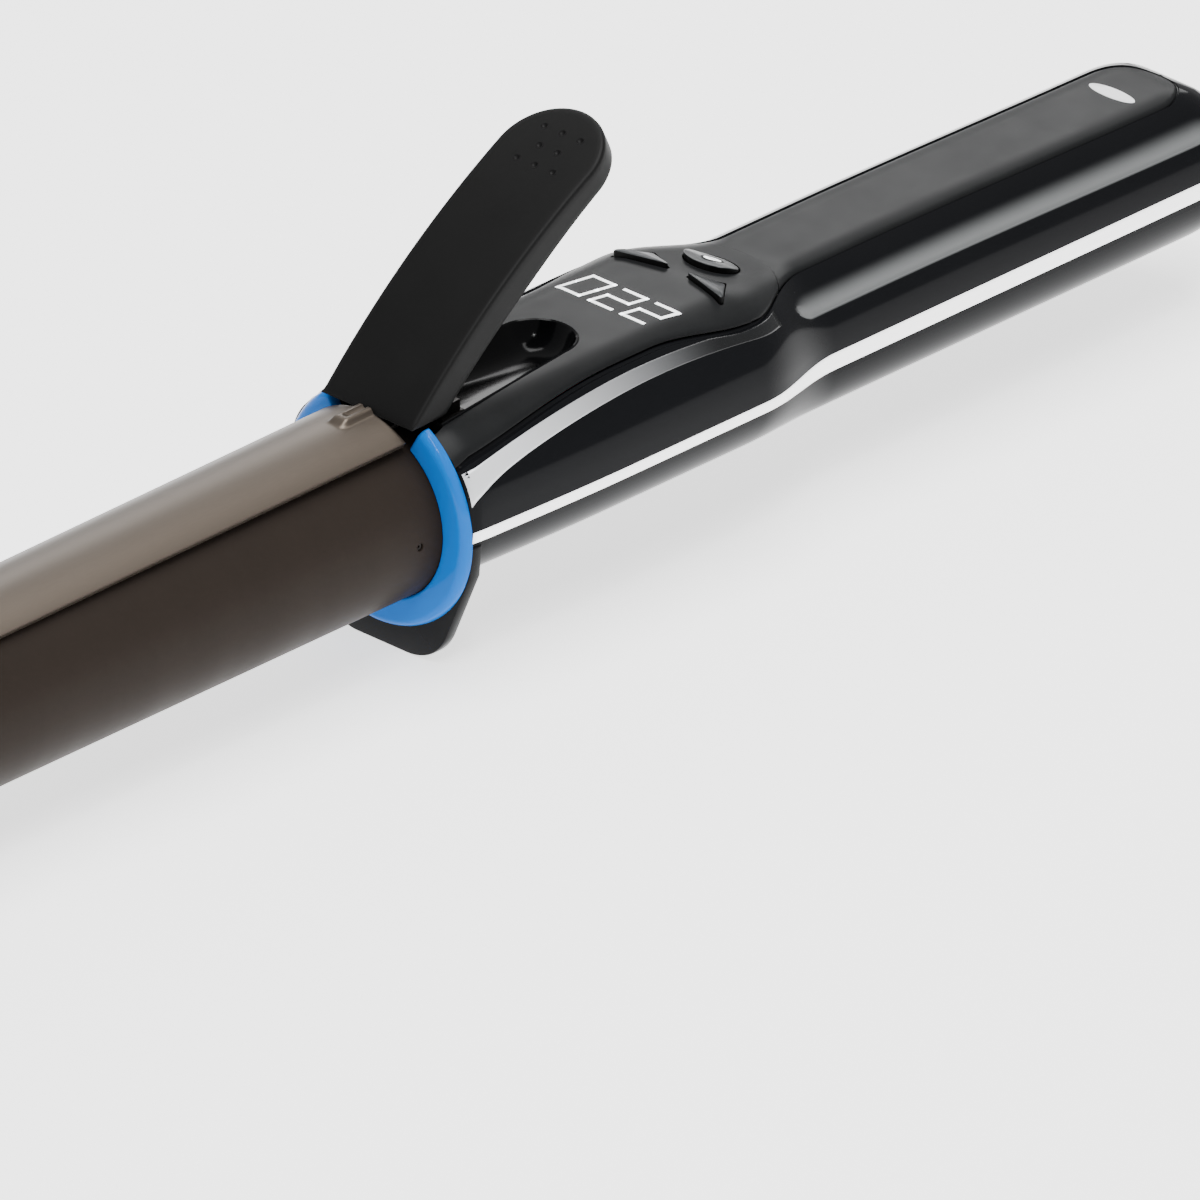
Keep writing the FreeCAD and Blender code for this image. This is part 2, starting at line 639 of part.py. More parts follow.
def lever_screws(play, head):
    """Two screws square to the tongue, or the holes for them when there is no head."""
    slope = math.radians(size("tongue_deg"))
    along = V(math.cos(slope), 0, math.sin(slope))
    out = V(-along.z, 0, along.x)
    solids = []
    for distance in LEVER_SCREWS:
        foot = tongue_foot() + along * distance
        shank = Part.makeCylinder(1.2 + play, 3.0 + play, foot - out * 0.01, out)
        if head > 0:
            shank = shank.fuse(Part.makeCylinder(2.0, head, foot - out * (head + 0.05), out))
            shank = shank.fuse(Part.makeCylinder(1.2, 0.1, foot - out * 0.08, out))
        solids.append(shank)
    return Part.makeCompound(solids)


def clamp_rivets(low, play):
    """Two rivets that join the arm's strap to the clamp plate, or the holes for them."""
    tall = 1.9 + play
    return Part.makeCompound([rod(x, 0, low, 0.9 + play, tall, V(0, 0, 1)) for x in RIVETS])


def make_clamp():
    """Clamp plate, the arm that carries it, the rivets and the hollow lever."""
    thin = size("clamp_thick")
    inside = size("clamp_in")
    length = size("clamp_len")
    angle = math.radians(size("clamp_half_deg"))
    arcs = []
    for radius in (inside, inside + thin):
        left = V(0, -radius * math.sin(angle), radius * math.cos(angle))
        right = V(0, radius * math.sin(angle), radius * math.cos(angle))
        arcs.append((left, V(0, 0, radius), right))
    (a0, a1, a2), (b0, b1, b2) = arcs
    edges = [Part.Arc(a0, a1, a2).toShape(), Part.LineSegment(a2, b2).toShape(),
             Part.Arc(b2, b1, b0).toShape(), Part.LineSegment(b0, a0).toShape()]
    plate = Part.Face(Part.Wire(edges)).extrude(V(-length, 0, 0))
    corners = [e for e in plate.Edges if e.Length < thin * 1.2 and e.BoundBox.XMin < -length + 0.01]
    plate = plate.makeFillet(6.0, corners)
    plate.rotate(V(0, 0, 0), V(0, 1, 0), size("clamp_pitch"))
    rear = size("clamp_rear")
    plate.translate(V(rear, 0, size("clamp_lift")))
    boss = box(rear - 9, rear - 0.6, -1.6, 1.6, inside + size("clamp_lift") + thin - 0.3,
               inside + size("clamp_lift") + thin + 0.9)
    boss = boss.makeFillet(0.8, [e for e in boss.Edges if e.BoundBox.ZMin > boss.BoundBox.ZMax - 0.01])
    low = size("barrel_rad") + 0.45
    plate = plate.fuse(boss).cut(clamp_rivets(low, 0.05)).removeSplitter()
    shape_part("clamp_plate", plate)

    hx = size("hinge_x")
    hz = size("hinge_up")
    half = size("arm_half")
    ear = size("ear_rad")
    ear_thick = size("ear_thick")
    strap = box(-15, hx - 1.0, -4.5, 4.5, low, low + 1.15)
    under = rod(-16, 0, size("clamp_lift") - 0.1, inside, hx + 20, V(1, 0, 0))
    strap = strap.common(under)
    ears = rod(hx, -half, hz, ear, 2 * half, V(0, 1, 0))
    bridge = box(hx - 2.6, hx - 1.2, -half, half, low, hz + 1.0)
    gap = box(hx - 1.2, hx + 6, -half + ear_thick, half - ear_thick, low - 1, hz + 6)
    tongue = box(0, 19, -half, half, 0, size("tongue_thick"))
    tongue.rotate(V(0, 0, 0), V(0, 1, 0), -size("tongue_deg"))
    tongue.translate(tongue_foot())
    side = box(hx - 2.6, hx + 0.6, -half, half, low, hz + 2.4)
    arm = strap.fuse(ears).fuse(bridge).fuse(side.cut(gap)).cut(gap).fuse(tongue)
    arm = arm.cut(rod(hx, -20, hz, size("pin_rad + pin_play"), 40, V(0, 1, 0)))
    arm = arm.cut(rod(hx, -half + ear_thick, hz, 2.3, 2 * (half - ear_thick), V(0, 1, 0)))
    arm = arm.cut(lever_screws(0.05, 0.0)).cut(clamp_rivets(low, 0.05))
    solids = sorted(arm.Solids, key=lambda s: s.Volume)
    shape_part("clamp_arm", solids[-1].removeSplitter())

    shape_part("clamp_rivets", clamp_rivets(low, 0.0))


def lever_profile(inset):
    """Side face of the lever, or of its hollow when an inset is given."""
    a0 = V(size("lever_base_x"), 0, size("lever_base_up"))
    a1 = V(size("lever_tip_x"), 0, size("lever_tip_up"))
    chord = a1 - a0
    run = chord.Length
    along = V(chord).normalize()
    out = V(-along.z, 0, along.x)
    top_mid = a0 + along * (run / 2) + out * 3.1
    edge = size("lever_edge")
    b1 = a1 + (along * 0.55 - out) * edge
    b0 = V(size("hinge_x") - 0.6, 0, size("lever_base_up"))
    low_mid = top_mid - out * 5.8
    if inset > 0:
        a0 = a0 - out * inset - along * 1.0
        a1 = a1 - out * inset - along * 8.0
        top_mid = top_mid - out * inset
        b0 = b0 - out * 9 - along * 3
        b1 = b1 - out * 9 - along * 8.0
        low_mid = low_mid - out * 9
    edges = [Part.Arc(a0, top_mid, a1).toShape(), Part.LineSegment(a1, b1).toShape(),
             Part.Arc(b1, low_mid, b0).toShape(), Part.LineSegment(b0, a0).toShape()]
    return Part.Face(Part.Wire(edges))


def make_lever():
    """Hollow arched lever with a round tip, its grip dimples left to the finish, and its screws."""
    half = size("lever_half")
    face = lever_profile(0.0)
    face.translate(V(0, -half, 0))
    body = face.extrude(V(0, 2 * half, 0))
    tip = V(size("lever_tip_x"), 0, size("lever_tip_up"))
    base = V(size("lever_base_x"), 0, size("lever_base_up"))
    along = V(tip - base).normalize()
    slope = math.degrees(math.atan2(along.z, along.x))
    run = (tip - base).Length
    plan = box(-30, run + 1.5 - half, -half, half, -30, 30)
    cap = rod(run + 1.5 - half, 0, -30, half, 60, V(0, 0, 1))
    plan = plan.fuse(cap)
    plan.rotate(V(0, 0, 0), V(0, 1, 0), -slope)
    plan.translate(base)
    body = body.common(plan)
    hollow = lever_profile(size("lever_wall"))
    inner = half - size("lever_wall")
    hollow.translate(V(0, -inner, 0))
    body = body.cut(hollow.extrude(V(0, 2 * inner, 0)))
    body = body.cut(lever_screws(0.05, 0.0))
    shape_part("clamp_lever", body.removeSplitter())
    shape_part("lever_screws", lever_screws(0.0, 1.0))


def make_hinge():
    """Fixed bracket with two ears, the pin through it and the torsion spring about the pin."""
    hx = size("hinge_x")
    hz = size("hinge_up")
    inner = size("bracket_in")
    thick = size("bracket_thick")
    base_up = size("barrel_rad") + 0.05
    foot_end = hx + size("foot_rear")
    bracket = box(hx + size("foot_front"), foot_end, -inner - thick, inner + thick, base_up, base_up + 1.0)
    for side in (-1, 1):
        y0 = inner if side > 0 else -inner - thick
        cheek = rod(hx, y0, hz, size("cheek_rad"), thick, V(0, 1, 0))
        cheek = cheek.fuse(box(hx, foot_end, y0, y0 + thick, base_up, hz))
        bracket = bracket.fuse(cheek)
    bracket = bracket.cut(rod(hx, -20, hz, size("pin_rad"), 40, V(0, 1, 0)))
    shape_part("hinge_bracket", bracket.removeSplitter())

    pin = new_body("hinge_pin")
    circle = new_sketch(pin, "XZ_Plane")
    draw_circle(circle, "pin_rad", "hinge_x", "hinge_up")
    extrude(pin, circle, "pin_half * 2", middle=True)

    spring = new_body("clamp_spring")
    circle = new_sketch(spring, "XZ_Plane")
    draw_circle(circle, "pin_rad + 0.25", "hinge_x", "hinge_up")
    draw_circle(circle, "pin_rad + 0.85", "hinge_x", "hinge_up")
    extrude(spring, circle, "(arm_half - ear_thick) * 2 - 0.6", middle=True)


# ---------------------------------------------------------------- keys and board
def make_keys():
    """Power, plus and minus keys, proud of the panel by the same small step."""
    low = size("board_up + board_thick + mat_rise + mat_thick + key_gap")
    cap = handle_solid(-size("key_proud"), size("key_cap_front"), size("body_end"))
    for name in ("power", "plus", "minus"):
        key = key_prism(name, 0.0, low, 40).common(cap)
        shape_part(f"{name}_key", key.removeSplitter())


def make_board():
    """Circuit board with its parts, the display under the panel, and the key mat."""
    x0 = size("board_x")
    up = size("board_up")
    deck = size("board_up + board_thick")
    pad_outline("circuit_board", "XY_Plane",
                rectangle("board_x", "board_x + board_len", "-board_half", "board_half"),
                "board_thick", up="board_up",
                holes=[("1.3", x, y) for x in ("board_x + 3", "board_x + board_len - 3")
                       for y in ("board_hole_side", "-board_hole_side")])
    screws = []
    for x in (x0 + 3, x0 + size("board_len") - 3):
        for y in (-size("board_hole_side"), size("board_hole_side")):
            head = rod(x, y, deck, 2.1, 1.2, V(0, 0, 1))
            screws.append(head.fuse(rod(x, y, up - 5, 1.25, 5 + size("board_thick") + 0.1, V(0, 0, 1))))
    shape_part("board_screws", Part.makeCompound(screws))

    block("display_module", "board_x + 1", "board_x + 12", "-6.5", "6.5", "board_up + board_thick",
          "front_top - shell_wall - 0.4")
    block("microcontroller", "board_x + 44", "board_x + 52", "-4", "4", "board_up + board_thick",
          "board_up + board_thick + 1.2")
    block("triac", "board_x + 56", "board_x + 66", "-5", "5", "board_up - 4.6", "board_up")
    block("triac_heat_sink", "board_x + 54", "board_x + 67.5", "-7", "7", "board_up - 6.2", "board_up - 4.6")
    capacitor = new_body("mains_capacitor")
    can = new_sketch(capacitor, "YZ_Plane", "board_x + 30")
    draw_circle(can, "4", "0", "board_up - 4.2")
    extrude(capacitor, can, "14")

    switches = []
    half = size("switch_half")
    back = size("key_x - switch_back")
    for x, y in ((size("key_x"), 0), (back, size("switch_side")), (back, -size("switch_side"))):
        body = box(x - half, x + half, y - half, y + half, deck, deck + half)
        switches.append(body.fuse(rod(x, y, deck + half, 1.0, 0.5, V(0, 0, 1))))
    shape_part("tact_switches", Part.makeCompound(switches))

    mat_up = deck + size("mat_rise")
    mat = box(size("key_x") - 13, size("key_x") + 6.5, -12, 12, mat_up, mat_up + size("mat_thick"))
    shape_part("key_mat", mat)


# ---------------------------------------------------------------- cord swivel and leads
def make_swivel():
    """Turning gland with its slip rings, and the fixed plate and brushes it runs in."""
    end = "body_end"
    gland = new_body("cord_gland")
    revolve(gland, [("gland_in", "cord_rad"), (f"{end} + gland_out", "cord_rad"),
                    (f"{end} + gland_out", "gland_rad - 0.8"), (f"{end} + 0.5", "gland_rad"),
                    (f"{end} - 6", "gland_rad"), (f"{end} - 6", "collar_disc"),
                    (f"{end} - 8.5", "collar_disc"), (f"{end} - 8.5", "gland_rad"),
                    ("gland_in", "gland_rad")])
    rings = []
    wide = size("slip_ring_wide")
    for x in (size("gland_in") + 2, size("gland_in") + 6.5):
        ring = rod(x, 0, 0, size("gland_rad + slip_ring_thick"), wide, V(1, 0, 0))
        rings.append(ring.cut(rod(x, 0, 0, size("gland_rad"), wide, V(1, 0, 0))))
    shape_part("slip_rings", Part.makeCompound(rings))

    plate_x = size("body_end") - 5.6
    plate = handle_solid(size("shell_wall") + 1.2, size("swivel_front"), size("body_end") - 2.4)
    plate = plate.common(box(plate_x, plate_x + 2.0, -20, 20, -20, 20))
    plate = plate.cut(rod(plate_x - 1, 0, 0, size("gland_rad + gland_play"), 5, V(1, 0, 0)))
    shape_part("swivel_plate", plate)

    brushes = []
    for x in (size("gland_in") + 3.3, size("gland_in") + 7.8):
        touch = size("gland_rad + slip_ring_thick") + 0.3
        half = size("brush_half")
        side = size("brush_side")
        brushes.append(box(x - half, x + half, -side, side, -touch - size("brush_long"), -touch))
    base = box(size("gland_in"), size("gland_in") + 11, -5, 5, -11.3, -size("gland_rad") - 4.1)
    shape_part("brush_contacts", Part.makeCompound(brushes))
    shape_part("brush_holder", base)


def lead(points, radius):
    """Round wire along straight runs joined by tangent arcs."""
    edges = []
    start = points[0]
    for i in range(1, len(points) - 1):
        before = (points[i - 1] - points[i])
        after = (points[i + 1] - points[i])
        one = V(before).normalize()
        two = V(after).normalize()
        half = one.getAngle(two) / 2
        cut = 0.42 * min(before.Length, after.Length)
        bend = cut * math.tan(half)
        first = points[i] + one * cut
        last = points[i] + two * cut
        centre = points[i] + (one + two).normalize() * (cut / math.cos(half))
        mid = centre + (points[i] - centre).normalize() * bend
        edges.append(Part.LineSegment(start, first).toShape())
        edges.append(Part.Arc(first, mid, last).toShape())
        start = last
    edges.append(Part.LineSegment(start, points[-1]).toShape())
    path = Part.Wire(edges)
    ahead = (points[1] - points[0]).normalize()
    ring = Part.Wire([Part.Circle(points[0], ahead, radius).toShape()])
    return path.makePipeShell([ring], True, False)


def make_leads():
    """Heater leads through the holder to the board, and supply leads from the brushes."""
    x0 = size("board_x")
    up = size("board_up")
    heater = []
    for side in (-1, 1):
        route = [V(-11.5, side * 2.4, 0), V(8, side * 2.4, 0), V(24, side * 4.0, 0.8),
                 V(42, side * 4.6, up - 3.0), V(x0 + 8, side * 4.6, up - 3.0)]
        heater.append(lead(route, 0.8))
    shape_part("heater_leads", Part.makeCompound(heater))
    supply = []
    for side in (-1, 1):
        route = [V(x0 + size("board_len") - 6, side * 4.5, up - 1.2), V(131, side * 5.5, 3),
                 V(146, side * 6.5, 0), V(160, side * 6, -5), V(168, side * 4, -8.6),
                 V(size("gland_in") - 0.1, side * 4, -8.6)]
        supply.append(lead(route, 0.9))
    shape_part("supply_leads", Part.makeCompound(supply))


def make_screws():
    """Screws up through the lower housing into the posts of the parts above."""
    screws = []
    for x in HOUSING_SCREWS:
        base = section_sizes(x)[1]
        head = rod(x, 0, base + 0.4, size("screw_head"), 1.3, V(0, 0, 1))
        screws.append(head.fuse(rod(x, 0, base + 1.5, size("screw_shank"), 6.5, V(0, 0, 1))))
    shape_part("housing_screws", Part.makeCompound(screws))


def screw_post(x, top):
    """Hollow post that a housing screw bites into, down to the housing's floor."""
    base = section_sizes(x)[1] + size("shell_wall") + 0.1
    post = rod(x, 0, base, size("post_rad"), top - base, V(0, 0, 1))
    return post.cut(rod(x, 0, base - 1, size("screw_shank") + 0.05, 8.0, V(0, 0, 1)))


def sink_screws(shape):
    """Counterbored screw holes through the bottom of the lower housing."""
    for x in HOUSING_SCREWS:
        base = section_sizes(x)[1]
        shape = shape.cut(rod(x, 0, base - 2, size("screw_head") + 0.1, 3.75, V(0, 0, 1)))
        shape = shape.cut(rod(x, 0, base - 2, size("screw_shank") + 0.1, 8, V(0, 0, 1)))
    return shape


def board_posts(inner):
    """Four posts under the board, drilled for its screws."""
    x0 = size("board_x") + 3
    x1 = x0 + size("board_len") - 6
    posts = []
    for x in (x0, x1):
        for y in (-size("board_hole_side"), size("board_hole_side")):
            post = rod(x, y, -20, 3.0, 20 + size("board_up") - 0.05, V(0, 0, 1)).common(inner)
            posts.append(post.cut(rod(x, y, size("board_up") - 6, 1.3, 8, V(0, 0, 1))))
    return posts


def check_and_write():
    """Stop at any failed object or shape, then write one file for each sub-part."""
    doc.recompute()
    for obj in doc.Objects:
        if "Invalid" in obj.State or "Error" in obj.State:
            raise RuntimeError(f"{obj.Name} failed: {obj.State}")
    for part in PARTS:
        if part.Shape.isNull() or not part.Shape.isValid():
            raise RuntimeError(f"{part.Label} has no valid shape")
        if part.Shape.Volume <= 0:
            raise RuntimeError(f"{part.Label} is not a solid")
    os.makedirs("parts", exist_ok=True)
    for part in PARTS:
        part.Shape.exportStep(f"parts/{part.Label}.step")
        bounds = part.Shape.BoundBox
        print(f"{part.Label:22s} solids {len(part.Shape.Solids)} volume {part.Shape.Volume:9.1f}"
              f"  x {bounds.XMin:7.1f} {bounds.XMax:7.1f}  y {bounds.YMin:6.1f} {bounds.YMax:6.1f}"
              f"  z {bounds.ZMin:6.1f} {bounds.ZMax:6.1f}")


make_barrel()
make_heater()
make_collar()
make_handle()
make_inlay()
make_clamp()
make_lever()
make_hinge()
make_keys()
make_board()
make_swivel()
make_leads()
make_screws()
check_and_write()
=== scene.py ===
"""Looks of the curling iron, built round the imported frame.

Sizes in the dataclasses are millimetres about the barrel axis: x runs from the collar ring's front
face towards the handle, y across and z up. Axes.at() turns them into metres in the part's frame.
"""
import json
import logging
import math
from dataclasses import dataclass, field
from enum import Enum
from typing import Callable, Sequence

import bmesh
import bpy
from mathutils import Matrix, Vector


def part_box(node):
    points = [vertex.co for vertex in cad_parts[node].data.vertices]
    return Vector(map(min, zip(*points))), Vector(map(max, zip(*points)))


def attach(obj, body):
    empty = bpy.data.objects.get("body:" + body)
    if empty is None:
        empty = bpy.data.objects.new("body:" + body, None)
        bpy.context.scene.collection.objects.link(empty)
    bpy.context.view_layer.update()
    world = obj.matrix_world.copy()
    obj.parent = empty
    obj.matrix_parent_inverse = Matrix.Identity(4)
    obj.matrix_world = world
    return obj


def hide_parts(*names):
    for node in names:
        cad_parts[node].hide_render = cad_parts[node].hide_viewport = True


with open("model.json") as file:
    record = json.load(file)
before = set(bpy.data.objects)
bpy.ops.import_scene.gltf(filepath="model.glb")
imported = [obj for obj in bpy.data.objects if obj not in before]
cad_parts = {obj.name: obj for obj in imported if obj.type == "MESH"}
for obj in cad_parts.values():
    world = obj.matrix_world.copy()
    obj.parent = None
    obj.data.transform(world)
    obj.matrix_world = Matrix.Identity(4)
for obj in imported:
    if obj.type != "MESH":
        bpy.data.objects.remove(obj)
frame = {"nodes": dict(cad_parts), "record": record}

LOG = logging.getLogger("curling_iron")
MM = 0.001
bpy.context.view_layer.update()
Point = tuple[float, float, float]
Flat = tuple[float, float]
Loop = list[Point]
Piece = bpy.types.Object
Tree = bpy.types.NodeTree
Node = bpy.types.Node
Socket = bpy.types.NodeSocket


class Axes:
    """The barrel's own axes, read from the frame."""

    ring_x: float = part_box("collar_ring")[0].x
    axis_z: float = (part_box("barrel_tube")[0].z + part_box("barrel_tube")[1].z) / 2

    @classmethod
    def at(cls, x: float, y: float, z: float) -> Vector:
        """A place in metres in the part's frame.

        Args:
            x: Distance behind the collar ring's front face, in mm.
            y: Distance across, in mm.
            z: Height above the barrel axis, in mm.

        Returns:
            The same place in metres.
        """
        return Vector((cls.ring_x + x * MM, y * MM, cls.axis_z + z * MM))

    @classmethod
    def span(cls, node: str) -> tuple[Vector, Vector]:
        """A CAD node's box in millimetres about the barrel axis.

        Args:
            node: Name of the CAD node.

        Returns:
            Lowest and highest corner.
        """
        low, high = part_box(node)
        shift = Vector((cls.ring_x, 0.0, cls.axis_z))
        return (low - shift) / MM, (high - shift) / MM


def ease(value: float, low: float, high: float) -> float:
    """Smooth step from 0 at low to 1 at high.

    Args:
        value: Where the step is read.
        low: Last place where it is 0.
        high: First place where it is 1.

    Returns:
        A number from 0 to 1.
    """
    part = min(max((value - low) / (high - low), 0.0), 1.0)
    return part * part * (3 - 2 * part)


def mix(first: float, second: float, part: float) -> float:
    """Straight blend of two numbers."""
    return first + (second - first) * part


# ------------------------------------------------------------------------------------ finishes
BROAD_GRAINS = 60
COAT_ROUGHNESS = 0.04
LEAST_ROUGHNESS = 0.02


class Grain(Enum):
    """How a surface's fine texture runs; the value scales the noise along X, Y and Z."""

    EVEN = (1.0, 1.0, 1.0)
    ALONG = (0.06, 1.0, 1.0)
    AROUND = (1.0, 0.08, 0.08)


@dataclass(frozen=True)
class Finish:
    """A procedural finish: two close colours, a fine grain and its relief."""

    name: str
    slot: str
    color: Point
    shade: Point
    roughness: float
    spread: float = 0.06
    metallic: float = 0.0
    coat: float = 0.0
    specular: float = 0.3
    ior: float = 1.5
    grain: Grain = Grain.EVEN
    grain_mm: float = 0.25
    relief: float = 0.05
    depth_mm: float = 0.02
    glow: float = 0.0

    def material(self) -> bpy.types.Material:
        """The node material, made once and then shared.

        Returns:
            The material.
        """
        label = f"finish_{self.name}"
        made = bpy.data.materials.get(label)
        if made:
            return made
        made = bpy.data.materials.new(label)
        made.use_nodes = True
        self.wire(made.node_tree)
        return made

    def wire(self, tree: Tree) -> None:
        """Join noise, colour, roughness and relief to the shader.

        Args:
            tree: The material's node tree.
        """
        shader = tree.nodes["Principled BSDF"]
        shader.inputs["Metallic"].default_value = self.metallic
        shader.inputs["Specular IOR Level"].default_value = self.specular
        shader.inputs["IOR"].default_value = self.ior
        shader.inputs["Coat Weight"].default_value = self.coat
        shader.inputs["Coat Roughness"].default_value = COAT_ROUGHNESS
        coords = tree.nodes.new("ShaderNodeTexCoord")
        mapping = tree.nodes.new("ShaderNodeMapping")
        mapping.inputs["Scale"].default_value = self.grain.value
        tree.links.new(coords.outputs["Object"], mapping.inputs["Vector"])
        fine = self.noise(tree, mapping, 1.0 / (self.grain_mm * MM), 3.0)
        broad = self.noise(tree, mapping, 1.0 / (self.grain_mm * BROAD_GRAINS * MM), 2.0)
        tint = tree.nodes.new("ShaderNodeMix")
        tint.data_type = "RGBA"
        tint.inputs["A"].default_value = (*self.color, 1.0)
        tint.inputs["B"].default_value = (*self.shade, 1.0)
        blend = tree.nodes.new("ShaderNodeMath")
        blend.operation = "MULTIPLY"
        tree.links.new(fine.outputs["Fac"], blend.inputs[0])
        tree.links.new(broad.outputs["Fac"], blend.inputs[1])
        tree.links.new(blend.outputs[0], tint.inputs["Factor"])
        tree.links.new(self.tone(tree, coords, tint.outputs["Result"]), shader.inputs["Base Color"])
        rough = tree.nodes.new("ShaderNodeMapRange")
        rough.inputs["To Min"].default_value = max(self.roughness - self.spread, LEAST_ROUGHNESS)
        rough.inputs["To Max"].default_value = self.roughness + self.spread
        tree.links.new(broad.outputs["Fac"], rough.inputs["Value"])
        tree.links.new(rough.outputs["Result"], shader.inputs["Roughness"])
        bump = tree.nodes.new("ShaderNodeBump")
        bump.inputs["Strength"].default_value = self.relief
        bump.inputs["Distance"].default_value = self.depth_mm * MM
        tree.links.new(fine.outputs["Fac"], bump.inputs["Height"])
        tree.links.new(bump.outputs["Normal"], shader.inputs["Normal"])
        if self.glow > 0:
            shader.inputs["Emission Color"].default_value = (*self.color, 1.0)
            shader.inputs["Emission Strength"].default_value = self.glow

    @staticmethod
    def noise(tree: Tree, mapping: Node, scale: float, detail: float) -> Node:
        """One noise texture on the mapped coordinates.

        Args:
            tree: The material's node tree.
            mapping: Mapping node that feeds it.
            scale: Noise scale, in waves per metre.
            detail: Octaves of detail.

        Returns:
            The noise node.
        """
        node = tree.nodes.new("ShaderNodeTexNoise")
        node.inputs["Scale"].default_value = scale
        node.inputs["Detail"].default_value = detail
        tree.links.new(mapping.outputs["Vector"], node.inputs["Vector"])
        return node

    def tone(self, _tree: Tree, _coords: Node, plain: Socket) -> Socket:
        """Colour that reaches the shader; a plain finish passes it on unchanged."""
        return plain


@dataclass(frozen=True)
class FadeFinish(Finish):
    """A finish that fades to another colour along X, between two places in mm behind the ring."""

    fade: Point = (0.01, 0.01, 0.01)
    begin: float = 0.0
    finish: float = 100.0

    def tone(self, tree: Tree, coords: Node, plain: Socket) -> Socket:
        """Plain colour at the beginning, faded colour at the end.

        Args:
            tree: The material's node tree.
            coords: Texture coordinates.
            plain: Colour before the fade.

        Returns:
            Colour after the fade.
        """
        parts = tree.nodes.new("ShaderNodeSeparateXYZ")
        tree.links.new(coords.outputs["Object"], parts.inputs["Vector"])
        reach = tree.nodes.new("ShaderNodeMapRange")
        reach.interpolation_type = "SMOOTHSTEP"
        reach.inputs["From Min"].default_value = Axes.ring_x + self.begin * MM
        reach.inputs["From Max"].default_value = Axes.ring_x + self.finish * MM
        tree.links.new(parts.outputs["X"], reach.inputs["Value"])
        fade = tree.nodes.new("ShaderNodeMix")
        fade.data_type = "RGBA"
        fade.inputs["B"].default_value = (*self.fade, 1.0)
        tree.links.new(plain, fade.inputs["A"])
        tree.links.new(reach.outputs["Result"], fade.inputs["Factor"])
        return fade.outputs["Result"]


@dataclass(frozen=True)
class PaintedFinish(Finish):
    """A finish whose second tone follows a point attribute of the mesh."""

    painted: Point = (0.5, 0.5, 0.5)
    attribute: str = "painted"

    def tone(self, tree: Tree, _coords: Node, plain: Socket) -> Socket:
        """Plain colour where the attribute is 0, painted colour where it is 1.

        Args:
            tree: The material's node tree.
            plain: Colour where nothing is painted.

        Returns:
            The blended colour.
        """
        value = tree.nodes.new("ShaderNodeAttribute")
        value.attribute_name = self.attribute
        cover = tree.nodes.new("ShaderNodeMix")
        cover.data_type = "RGBA"
        cover.inputs["B"].default_value = (*self.painted, 1.0)
        tree.links.new(plain, cover.inputs["A"])
        tree.links.new(value.outputs["Fac"], cover.inputs["Factor"])
        return cover.outputs["Result"]


BARREL = Finish("barrel_ceramic", "barrel_coat", (0.023, 0.0178, 0.0147), (0.0175, 0.0135, 0.0113), 0.40,
                metallic=0.06, specular=0.5, ior=1.1, grain=Grain.AROUND, grain_mm=0.12, relief=0.12,
                depth_mm=0.01)
CLAMP = Finish("clamp_bronze", "clamp_metal", (0.098, 0.080, 0.064), (0.075, 0.061, 0.049), 0.38,
               metallic=0.8, grain=Grain.ALONG, grain_mm=0.15, relief=0.10, depth_mm=0.01)
TIP = Finish("cool_tip_black", "tip_black", (0.012, 0.012, 0.012), (0.019, 0.019, 0.019), 0.5, relief=0.25)
RING = Finish("collar_blue", "ring_blue", (0.0, 0.122, 0.475), (0.0, 0.112, 0.435), 0.08, specular=0.5,
              ior=1.17, relief=0.02)
FOOT = Finish("foot_black", "foot_black", (0.004, 0.004, 0.0045), (0.006, 0.006, 0.0065), 0.22, specular=0.5,
              ior=1.17, relief=0.02)
# Gloss black housing; its light grey in the finger grooves, strongest at their lower lips, is a painted
# highlight where the grooves catch light.
GLOSS = PaintedFinish("housing_gloss_black", "gloss_black", (0.0045, 0.0048, 0.0055),
                      (0.0062, 0.0065, 0.0075), 0.10, spread=0.03, specular=0.5, ior=1.14, relief=0.015,
                      painted=(0.17, 0.175, 0.176), attribute="groove")
SATIN = Finish("cover_satin_grey", "satin_grey", (0.009, 0.0095, 0.010), (0.012, 0.0125, 0.013), 0.34,
               metallic=0.03, specular=0.5, ior=1.17, grain_mm=0.12, relief=0.08)
WELL = Finish("well_gloss_black", "well_black", (0.003, 0.0032, 0.0036), (0.004, 0.0042, 0.0046), 0.12,
              specular=0.5, ior=1.18, relief=0.01)
LEVER = Finish("lever_matte_black", "lever_black", (0.0030, 0.0030, 0.0030), (0.0048, 0.0048, 0.0048), 0.52,
               specular=0.5, ior=1.22, grain_mm=0.18, relief=0.22)
KEY = Finish("key_satin_grey", "key_grey", (0.028, 0.030, 0.032), (0.036, 0.038, 0.040), 0.34, metallic=0.25,
             grain_mm=0.12, relief=0.06)
# Near-black for the key walls is painted shade on faces turned from the light; the same black also prints
# the power mark.
KEY_WALL_SHADE_AND_MARK = Finish("key_side_black", "display_black", (0.002, 0.002, 0.002), (0.003, 0.003, 0.003), 0.5,
                  specular=0.1)
# Glowing white stripe: a painted highlight standing in for a strip light's reflection along the handle's
# side.
STRIPE_HIGHLIGHT = Finish("trim_white", "stripe_white", (0.95, 0.95, 0.95), (0.91, 0.91, 0.91), 0.18, relief=0.01,
               glow=1.2)
DIGIT = Finish("display_white", "inlay_white", (0.95, 0.96, 0.97), (0.9, 0.92, 0.94), 0.3, glow=1.3)
INLAY = Finish("inlay_white", "inlay_white", (0.9, 0.9, 0.91), (0.82, 0.83, 0.84), 0.3, relief=0.03)
